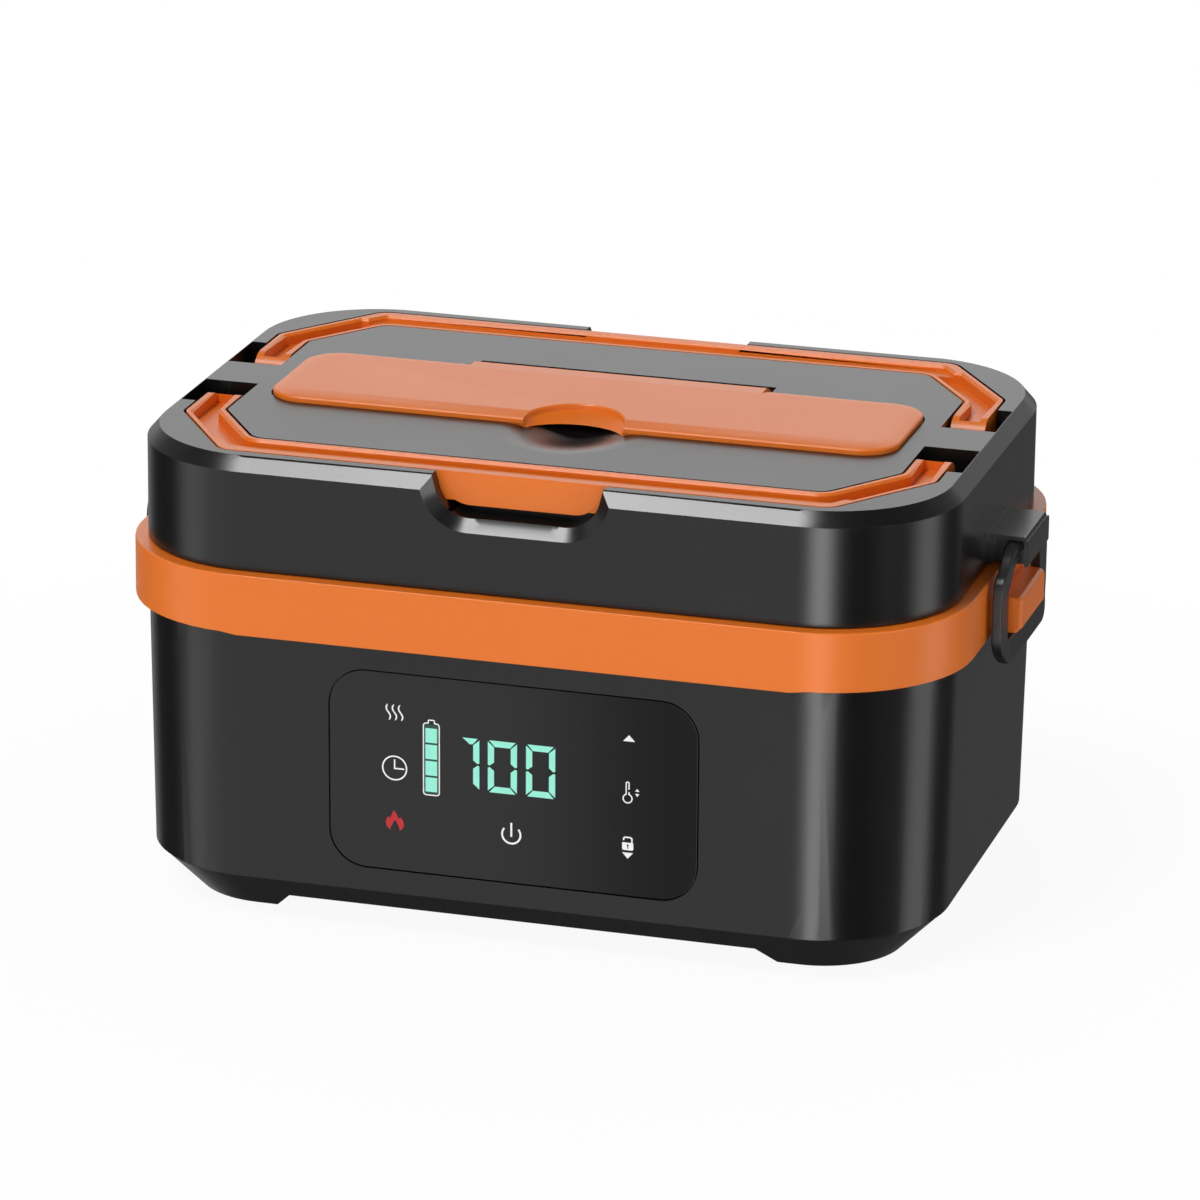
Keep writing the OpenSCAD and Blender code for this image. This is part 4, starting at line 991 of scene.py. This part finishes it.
class LUNCHBOX_OT_cutlery_cover(bpy.types.Operator):
    """Hinged cover of the cutlery compartment"""

    bl_idname = "lunchbox.cutlery_cover"
    bl_label = "Cutlery cover"

    def execute(self, context):
        flap = loft("cutlery_flap", in_mm([
            (8.5, 139.4), (10.3, 139.4), (10.5, 139.6), (10.5, 140.65), (10.95, 140.7), (10.95, 141.9),
            (10.5, 142.32), (5.4, 143.3)]), COVER_CORNER, 10)
        # Hinge tab, drawn from the side, and the barrel at its end
        hinge_y, hinge_z = HINGE
        side = in_mm([(16, 139.41), (25.4, 139.41), (25.4, hinge_z), (hinge_y, hinge_z),
                      (hinge_y + 1.9, hinge_z + 2.82), (hinge_y - 2.4, 142.8), (hinge_y - 4, 143.29), (16, 143.29)])
        tab = plate("hinge_tab", side, -HINGE_HALF, HINGE_HALF)
        put(tab, Matrix(((0, 0, 1, 0), (1, 0, 0, 0), (0, 1, 0, 0), (0, 0, 0, 1))))
        barrel = bar_along_x(3.4 * MM, 2 * HINGE_HALF)
        fuse(flap, [tab, barrel])
        # Oval cut-out: a short upright wall below its upper edge, then a slope down towards the cover's front edge
        ovals = in_mm([(15.0, 8.0, 137.0), (15.1, 9.5, 139.1), (15.3, 18.7, 141.5), (15.4, 18.8, 142.85),
                       (15.9, 19.3, 143.35), (15.9, 19.3, 145.3)])
        hole = rings("hole", [oval(*row, CUTOUT_BACK) for row in ovals])
        bore = bar_along_x(1.33 * MM, 2 * HINGE_HALF + 2 * MM)
        cut_with(flap, [hole, bore])
        ship(finish_mesh(flap, 0.3 * MM, 3), "cutlery_cover", "orange_plastic", "cutlery_cover")
        return {"FINISHED"}


# ---- Latches ----

class LUNCHBOX_OT_latches(bpy.types.Operator):
    """Bail latches at both ends"""

    bl_idname = "lunchbox.latches"
    bl_label = "Latches"

    def execute(self, context):
        right = self.bail()
        left = copy_of(right, "bail_left", Matrix.Scale(-1, 4, (1, 0, 0)))
        for bail, node in ((right, "latch_right"), (left, "latch_left")):
            ship(finish_mesh(bail, smooth=30.0), node, "dark_plastic", node)
        return {"FINISHED"}

    def bail(self):
        """One bar swept from hub to hub: round at the hubs, a flat strap down the legs, and a foot that kicks out."""
        half = self.centre_line()
        line = half + [(-y, z, across, thick, round_off) for y, z, across, thick, round_off in half[::-1]]
        loops = []
        for i, (y, z, across, thick, round_off) in enumerate(line):
            before, after = line[max(i - 1, 0)], line[min(i + 1, len(line) - 1)]
            along = Vector((after[0] - before[0], after[1] - before[1])).normalized()
            side = Vector((-along.y, along.x))
            loop = []
            for u, v in rounded(rectangle(across / 2, thick / 2, round_off), 22.5):
                place = Vector((y, z)) + side * u
                # The leg stands a little closer in than the hub, and the foot kicks out again
                kick = 1.2 * min(max((-25.5 - place.y) / 6.5, 0.0), 1.0) - 0.6 * min(max(-place.y / 6.0, 0.0), 1.0)
                loop.append(((PIVOT[0] + v + kick) * MM, place.x * MM, (PIVOT[1] + place.y) * MM))
            loops.append(loop)
        return rings("bail_right", loops)

    def centre_line(self):
        """Middle of the bar from the rear hub to its centre, as (y, z, width, thickness, rounding)."""
        points = [(11.3, 0.0, 5.2, 5.2, 2.55), (14.3, 0.0, 5.3, 5.1, 2.5), (15.6, -0.35, 5.7, 4.7, 1.9),
                  (17.0, -1.3, 6.3, 4.1, 1.2), (18.6, -2.8, 7.0, 3.5, 0.7), (21.2, -5.8, 7.8, 3.2, 0.55)]
        for step in range(6):
            a = math.radians(45 - 45 * step / 5)
            points.append((20.1 + 5.0 * math.cos(a), -10.9 + 5.0 * math.sin(a), 8.2 + 0.06 * step, 3.1, 0.5))
        points += [(25.1, -14.0, 8.5, 3.1, 0.5), (25.1, -18.0, 8.5, 3.1, 0.5)]
        for step in range(9):
            a = math.radians(-90 * step / 8)
            t = step / 8
            points.append((18.6 + 6.5 * math.cos(a), -22.1 + 6.55 * math.sin(a), 8.5 - 1.8 * t, 3.1, 0.5))
        points += [(9.0, -28.65, 6.7, 3.1, 0.5)]
        return points


# ---- Food pot and well ----

class LUNCHBOX_OT_pot(bpy.types.Operator):
    """Steel food pot with its lid, seal and vent plug"""

    bl_idname = "lunchbox.pot"
    bl_label = "Food pot"

    def execute(self, context):
        low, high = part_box("food_pot")
        self.pot(low.z / MM, high.z / MM, high.x / MM - CORNER[0] / MM)
        low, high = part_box("pot_lid")
        self.cap(low.z / MM, high.z / MM, high.x / MM - CORNER[0] / MM)
        self.seal()
        self.plug()
        return {"FINISHED"}

    def pot(self, foot, rim, flange):
        """Deep drawn: rounded foot with an embossed ring, a step below the rim, and a curled flange."""
        top, low = POT_REACH[0] / MM, POT_REACH[1] / MM
        lean = (top - low) / (rim - foot)
        step = rim - 11.0
        outer = [(low - 15, foot + 0.9), (low - 12, foot + 0.9), (low - 11, foot), (low - 3.2, foot),
                 (low - 1.6, foot + 0.35), (low - 0.5, foot + 1.3), (low + 0.05, foot + 3.0),
                 (low + lean * (step - foot) - 0.5, step - 0.6), (top - 0.45, step + 0.5), (top - 0.1, rim - 2.2),
                 (top + 0.25, rim - 1.45), (top + 0.8, rim - 1.2), (flange - 0.9, rim - 1.2),
                 (flange - 0.35, rim - 1.15), (flange - 0.05, rim - 0.8), (flange, rim - 0.5),
                 (flange - 0.1, rim - 0.2), (flange - 0.4, rim)]
        inner = [(flange - 0.9, rim), (flange - 1.2, rim - 0.3), (top + 0.6, rim - 0.3), (top - 0.3, rim - 0.6),
                 (top - 1.0, rim - 1.6), (top - 1.35, step + 0.7), (low + lean * (step - foot) - 1.6, step - 0.4),
                 (low - 1.0, foot + 4.0), (low - 1.5, foot + 2.4), (low - 2.5, foot + 1.4), (low - 4.0, foot + 1.0),
                 (low - 10.2, foot + 1.0), (low - 11.2, foot + 1.9), (low - 15, foot + 1.9)]
        pot = loft("steel_pot", in_mm(outer + inner))
        ship(finish_mesh(pot, smooth=50.0), "food_pot", "steel", "food_pot")

    def cap(self, low, high, flange):
        """Pot lid: a rounded flange, a channel for its seal, and a ribbed hollow in its top."""
        pot = POT_REACH[0] / MM
        under = [(pot - 14, high - 2), (pot - 2.4, high - 2), (pot - 2, high - 2.4), (pot - 2, low + 1.3),
                 (pot + 2.2, low + 1.3), (pot + 2.2, low), (flange - 0.6, low), (flange - 0.15, low + 0.25),
                 (flange, low + 0.8)]
        over = [(flange, high - 1.6), (flange - 0.25, high - 0.7), (flange - 0.9, high - 0.15), (flange - 1.8, high),
                (pot + 1.2, high), (pot + 0.9, high - 0.4), (pot + 0.3, high - 0.4), (pot, high),
                (pot - 11.4, high), (pot - 11.8, high - 0.15), (pot - 12, high - 1.0), (pot - 13, high - 1.0)]
        lid = loft("pot_cap", in_mm(under + over))
        drill(lid, 4.3, low - 5, high + 5, 40 * MM, 0)
        ribs, foot, top = [], (high - 1.2) * MM, (high - 0.45) * MM
        for x in range(-55, 14, 17):
            rib = plate("rib", rounded(rectangle(1.0 * MM, 26 * MM, 0.9 * MM, x * MM)), foot, top)
            bevel_edges(rib, at_level(top), 0.3 * MM, 2)
            ribs.append(rib)
        fuse(lid, ribs)
        ship(finish_mesh(lid, 0.15 * MM), "pot_lid", "pale_plastic", "pot_lid")

    def seal(self):
        seal = loft("pot_gasket", in_mm([
            (23.3, 96.1), (23.3, 95.1), (23.55, 94.75), (23.9, 94.8), (24.2, 95.15), (25.9, 95.15), (26.2, 94.8),
            (26.6, 94.75), (26.9, 95.1), (26.9, 96.1), (26.7, 96.3), (23.5, 96.3)]), closed=True)
        ship(finish_mesh(seal), "pot_lid", "silicone", "pot_lid_seal")

    def plug(self):
        """Vent plug: a barbed stem and a domed cap with a pull rib."""
        low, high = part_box("vent_plug")
        middle = (low.x + high.x) / 2
        floor, top = low.z / MM, high.z / MM
        plug = loft("vent_button", in_mm([
            (3.2, floor), (3.8, floor + 0.3), (4.0, floor + 0.8), (3.8, floor + 1.2), (3.8, top - 1.6),
            (5.6, top - 1.6), (5.95, top - 1.35), (6.0, top - 1.0), (5.8, top - 0.75), (5.2, top - 0.55),
            (2.5, top - 0.35), (1.0, top - 0.32)]), (0.0, 0.0), 9)
        rib = plate("rib", rounded(rectangle(4.2 * MM, 0.7 * MM, 0.65 * MM)), high.z - 0.8 * MM, high.z)
        bevel_edges(rib, at_level(high.z), 0.3 * MM, 2)
        fuse(plug, [rib])
        put(plug, Matrix.Translation((middle, 0, 0)))
        ship(finish_mesh(plug, 0.1 * MM), "pot_lid", "silicone", "vent_plug")


class LUNCHBOX_OT_well(bpy.types.Operator):
    """Well that holds the food pot, and the heater plate on its floor"""

    bl_idname = "lunchbox.well"
    bl_label = "Well"

    def execute(self, context):
        ship(merged_copy("inner_well", "pot_well", 0.8 * MM, 3), "base", "aluminium", "inner_well")
        low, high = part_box("heater_plate")
        floor, top, reach = low.z / MM, high.z / MM, high.x / MM - CORNER[0] / MM
        plate_piece = loft("hot_plate", in_mm([
            (3, floor), (reach - 0.3, floor), (reach, floor + 0.3), (reach, top - 0.7), (reach - 0.7, top),
            (reach - 3.5, top), (reach - 3.8, top - 0.4), (reach - 4.4, top - 0.4), (reach - 4.7, top),
            (reach - 7.0, top), (reach - 7.3, top - 0.4), (reach - 7.9, top - 0.4), (reach - 8.2, top), (3, top)]))
        low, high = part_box("temperature_sensor")
        drill(plate_piece, 4.8, 30, 60, (low.x + high.x) / 2, (low.y + high.y) / 2)
        ship(finish_mesh(plate_piece), "base", "aluminium", "heater_plate")
        ship(merged_copy("temperature_sensor", "sensor_button", 0.3 * MM, 3), "base", "steel", "temperature_sensor")
        return {"FINISHED"}


# ---- Inlet ----

class LUNCHBOX_OT_inlet(bpy.types.Operator):
    """Charging inlet and its rubber cover"""

    bl_idname = "lunchbox.inlet"
    bl_label = "Charging inlet"

    def execute(self, context):
        ship(merged_copy("charge_cover", "inlet_flap", 0.35 * MM, 3), "charge_cover", "soft_rubber", "charge_cover")
        ship(merged_copy("charge_socket", "inlet_socket", 0.2 * MM), "base", "dark_plastic", "charge_socket")
        return {"FINISHED"}


# ---- Screws and pins ----

class LUNCHBOX_OT_fasteners(bpy.types.Operator):
    """Screws with a cross recess, and the hinge pins"""

    bl_idname = "lunchbox.fasteners"
    bl_label = "Fasteners"

    def execute(self, context):
        low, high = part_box("base_screws")
        reach = 3.0 * MM
        places = [(sx * (high.x - reach), sy * (high.y - reach)) for sx in (-1, 1) for sy in (-1, 1)]
        self.screws("plinth_screws", "base", "base_screws", places, reach / MM, 1.8)
        low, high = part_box("lid_screws")
        reach = 2.85 * MM
        places = [(sx * 60 * MM, sy * (high.y - reach)) for sx in (-1, 1) for sy in (-1, 1)]
        places += [(sx * (high.x - reach), 0) for sx in (-1, 1)]
        self.screws("liner_screws", "lid", "lid_screws", places, reach / MM, 1.4)
        for node in ("handle_pins", "cover_pin", "latch_pins"):
            ship(merged_copy(node, node.replace("pin", "rod"), 0.25 * MM), "lid", "steel", node)
        return {"FINISHED"}

    def screws(self, name, body, node, places, head, thick):
        """Pan-head screws, head down, copied to their places."""
        low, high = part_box(node)
        length = (high.z - low.z) / MM
        screw = loft("screw", in_mm([
            (head * 0.4, 0), (head * 0.72, 0.06), (head * 0.93, 0.3), (head, 0.75), (head, thick - 0.1),
            (head - 0.1, thick), (1.5, thick), (1.5, length - 1.6), (0.3, length)]), (0.0, 0.0), 7)
        arm, half = head * 0.62, 0.42
        cross = [(half, -arm), (half, -half), (arm, -half), (arm, half), (half, half), (half, arm), (-half, arm),
                 (-half, half), (-arm, half), (-arm, -half), (-half, -half), (-half, -arm)]
        cut_with(screw, [plate("cross", in_mm(cross), -1 * MM, 1.0 * MM)])
        finish_mesh(screw, 0.06 * MM)
        copies = [copy_of(screw, "screw", Matrix.Translation((x, y, low.z)) @ Matrix.Rotation(0.5 * i, 4, "Z"))
                  for i, (x, y) in enumerate(places)]
        bpy.data.objects.remove(screw)
        ship(join(copies, name), body, "steel", node)


# ---- Pieces that stay as packed ----

class LUNCHBOX_OT_inner_finishes(bpy.types.Operator):
    """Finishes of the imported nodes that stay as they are"""

    bl_idname = "lunchbox.inner_finishes"
    bl_label = "Inner finishes"

    def execute(self, context):
        slots = {entry["node"]: entry.get("material_slot") for entry in frame["record"]["subparts"]}
        for name, obj in frame["nodes"].items():
            if obj.hide_render:
                continue
            obj.data.materials.clear()
            obj.data.materials.append(finish(slots[name]))
        return {"FINISHED"}


# ---- Studio ----

# Soft panels of the room below and above the horizon, as (bearing from the front in degrees, positive to the
# right, half width, softness of the sides, level)
LOW_PANELS = ((-32.0, 24.0, 12.0, 0.82), (8.0, 8.0, 6.0, 6.8), (-66.0, 12.0, 9.0, 1.25),
              (104.0, 13.0, 9.0, 1.8), (-152.0, 20.0, 16.0, 0.35), (164.0, 10.0, 10.0, 0.13))
HIGH_PANELS = ((-16.0, 62.0, 30.0, 0.90), (-164.0, 28.0, 21.0, 1.08), (95.0, 25.0, 20.0, 0.55))
# Round lamps, as (direction, half angle where the light begins, half angle where it is full, level)
SOFTBOX = ((-0.262, -0.432, 0.863), 10.5, 5, 24.2)
SIDE_LAMP = ((0.894, -0.441, 0.0), 11, 5, 6.0)
# The camera's axes and its place
CAMERA_AXES = ((0.96020414, 0.27908528, 0.01092804), (-0.09742376, 0.29800803, 0.94957876),
               (0.26175681, -0.91285411, 0.31333808))
CAMERA_PLACE = (0.5187759, -1.8031745, 0.6998082)


class LUNCHBOX_OT_stage(bpy.types.Operator):
    """Floor, soft light and camera"""

    bl_idname = "lunchbox.stage"
    bl_label = "Studio"

    def execute(self, context):
        self.floor()
        self.world(context.scene)
        self.camera(context.scene)
        return {"FINISHED"}

    def floor(self):
        bpy.ops.object.select_all(action="DESELECT")
        bpy.ops.mesh.primitive_grid_add(x_subdivisions=4, y_subdivisions=4, size=8.0, location=(0, 0, 0))
        floor = bpy.context.object
        material, tree, shader, place = new_material("Pale floor")
        shader.inputs["Base Color"].default_value = (0.93, 0.93, 0.93, 1)
        shader.inputs["Roughness"].default_value = 0.9
        shader.inputs["Specular IOR Level"].default_value = 0.0
        white = add_node(tree, "Emission", Strength=1.0)
        mix = add_node(tree, "MixShader")
        far = add_node(tree, "VectorMath", {"operation": "LENGTH"})
        fade = add_node(tree, "MapRange", From_Min=0.13, From_Max=0.33, To_Min=0.93)
        path = add_node(tree, "LightPath")
        seen = maths(tree, "MAXIMUM", path.outputs["Is Camera Ray"],
                     maths(tree, "MAXIMUM", path.outputs["Is Glossy Ray"], path.outputs["Is Transmission Ray"]))
        wire(tree, [(place, "Object", far, 0), (far, "Value", fade, "Value"), (shader, 0, mix, 1), (white, 0, mix, 2),
                    (mix, 0, tree.nodes["Material Output"], "Surface")])
        tree.links.new(maths(tree, "MULTIPLY", fade.outputs[0], seen), mix.inputs[0])
        floor.data.materials.append(material)
        floor.visible_glossy = False

    def world(self, scene):
        """White to the camera; to the object a pale room with a few soft panels and darker gaps."""
        world = bpy.data.worlds.new("Studio")
        scene.world = world
        world.use_nodes = True
        tree = world.node_tree
        tree.nodes.clear()
        out, room, white, mix, path, place, apart = (add_node(tree, kind) for kind in (
            "OutputWorld", "Background", "Background", "MixShader", "LightPath", "TexCoord", "SeparateXYZ"))
        for light in (room, white):
            light.inputs["Color"].default_value = (1, 1, 1, 1)
        wire(tree, [(place, "Generated", apart, 0), (path, "Is Camera Ray", mix, 0), (room, 0, mix, 1),
                    (white, 0, mix, 2), (mix, 0, out, 0)])
        turn = maths(tree, "ARCTAN2", apart.outputs["X"], maths(tree, "MULTIPLY", apart.outputs["Y"], -1.0))
        bearing = maths(tree, "MULTIPLY", turn, 180 / math.pi)
        height = apart.outputs["Z"]
        low_room = self.panels(tree, bearing, 0.05, LOW_PANELS)
        below = self.blend(tree, self.ramp(tree, height, -0.80, -0.55), 0.10, low_room)
        high_room = self.panels(tree, bearing, 0.30, HIGH_PANELS)
        above = self.blend(tree, self.ramp(tree, height, 0.42, 0.68), high_room, 0.12)
        above = maths(tree, "ADD", above, self.lamp(tree, place, *SOFTBOX))
        total = self.blend(tree, self.ramp(tree, height, -0.10, 0.16), below, above)
        tree.links.new(maths(tree, "ADD", total, self.lamp(tree, place, *SIDE_LAMP)), room.inputs["Strength"])

    def lamp(self, tree, place, towards, outer, inner, level):
        """Round soft lamp in a direction, fading between two half angles in degrees."""
        aim = add_node(tree, "VectorMath", {"operation": "DOT_PRODUCT"})
        aim.inputs[1].default_value = Vector(towards).normalized()
        tree.links.new(place.outputs["Generated"], aim.inputs[0])
        start, stop = (math.cos(math.radians(angle)) for angle in (outer, inner))
        return self.ramp(tree, aim.outputs["Value"], start, stop, level)

    def ramp(self, tree, value, start, stop, level=1.0):
        """Smooth step from nothing at start to level at stop."""
        node = add_node(tree, "MapRange", {"interpolation_type": "SMOOTHSTEP"}, From_Min=start, From_Max=stop,
                        To_Max=level)
        tree.links.new(value, node.inputs["Value"])
        return node.outputs[0]

    def blend(self, tree, factor, a, b):
        node = add_node(tree, "Mix")
        tree.links.new(factor, node.inputs["Factor"])
        for name, value in (("A", a), ("B", b)):
            if isinstance(value, float):
                node.inputs[name].default_value = value
            else:
                tree.links.new(value, node.inputs[name])
        return node.outputs["Result"]

    def panels(self, tree, bearing, rest, rows):
        """Light of the room round the horizon: rest, and soft-sided panels as (bearing, half width, soft, level)."""
        total = rest
        for centre, half, soft, level in rows:
            away = maths(tree, "WRAP", maths(tree, "SUBTRACT", bearing, centre), 180.0)
            away.node.inputs[2].default_value = -180.0
            side = self.ramp(tree, maths(tree, "ABSOLUTE", away), half + soft, max(half - soft, 0.0), level)
            total = maths(tree, "ADD", side, total)
        return total

    def camera(self, scene):
        """Seen from the front, 16 degrees to the right and 18 degrees above, through a long lens."""
        data = bpy.data.cameras.new("Camera")
        data.sensor_width = 36.0
        data.lens = 200.41
        data.clip_end = 20.0
        camera = bpy.data.objects.new("Camera", data)
        scene.collection.objects.link(camera)
        turned = Matrix(CAMERA_AXES).transposed().to_4x4()
        camera.matrix_world = Matrix.Translation(CAMERA_PLACE) @ turned
        scene.camera = camera
        scene.view_settings.view_transform = "Standard"


# ---- Panel and registration ----

STEPS = (
    "base", "band", "panel", "lid", "handles", "cutlery_cover", "latches", "pot", "well", "inlet", "fasteners",
    "inner_finishes", "stage",
)


class LUNCHBOX_PT_steps(bpy.types.Panel):
    """Lists the steps that dress the lunch box"""

    bl_idname = "LUNCHBOX_PT_steps"
    bl_label = "Lunch box"
    bl_space_type = "VIEW_3D"
    bl_region_type = "UI"
    bl_category = "Lunch box"

    def draw(self, context):
        for step in STEPS:
            self.layout.operator("lunchbox." + step)
        for group in (context.scene.lunch_box_sizes, context.scene.lunch_box_colours):
            for name in group.__annotations__:
                self.layout.prop(group, name)


CLASSES = (
    LunchBoxSizes, LunchBoxColours,
    LUNCHBOX_OT_base, LUNCHBOX_OT_band, LUNCHBOX_OT_panel, LUNCHBOX_OT_lid, LUNCHBOX_OT_handles,
    LUNCHBOX_OT_cutlery_cover, LUNCHBOX_OT_latches, LUNCHBOX_OT_pot, LUNCHBOX_OT_well, LUNCHBOX_OT_inlet,
    LUNCHBOX_OT_fasteners, LUNCHBOX_OT_inner_finishes, LUNCHBOX_OT_stage,
    LUNCHBOX_PT_steps,
)


def register():
    for cls in CLASSES:
        bpy.utils.register_class(cls)
    bpy.types.Scene.lunch_box_sizes = bpy.props.PointerProperty(type=LunchBoxSizes)
    bpy.types.Scene.lunch_box_colours = bpy.props.PointerProperty(type=LunchBoxColours)


def unregister():
    del bpy.types.Scene.lunch_box_sizes
    del bpy.types.Scene.lunch_box_colours
    for cls in reversed(CLASSES):
        bpy.utils.unregister_class(cls)


def main():
    register()
    for step in STEPS:
        if getattr(bpy.ops.lunchbox, step)() != {"FINISHED"}:
            raise RuntimeError("the step " + step + " didn't finish")


if __name__ == "__main__":
    main()
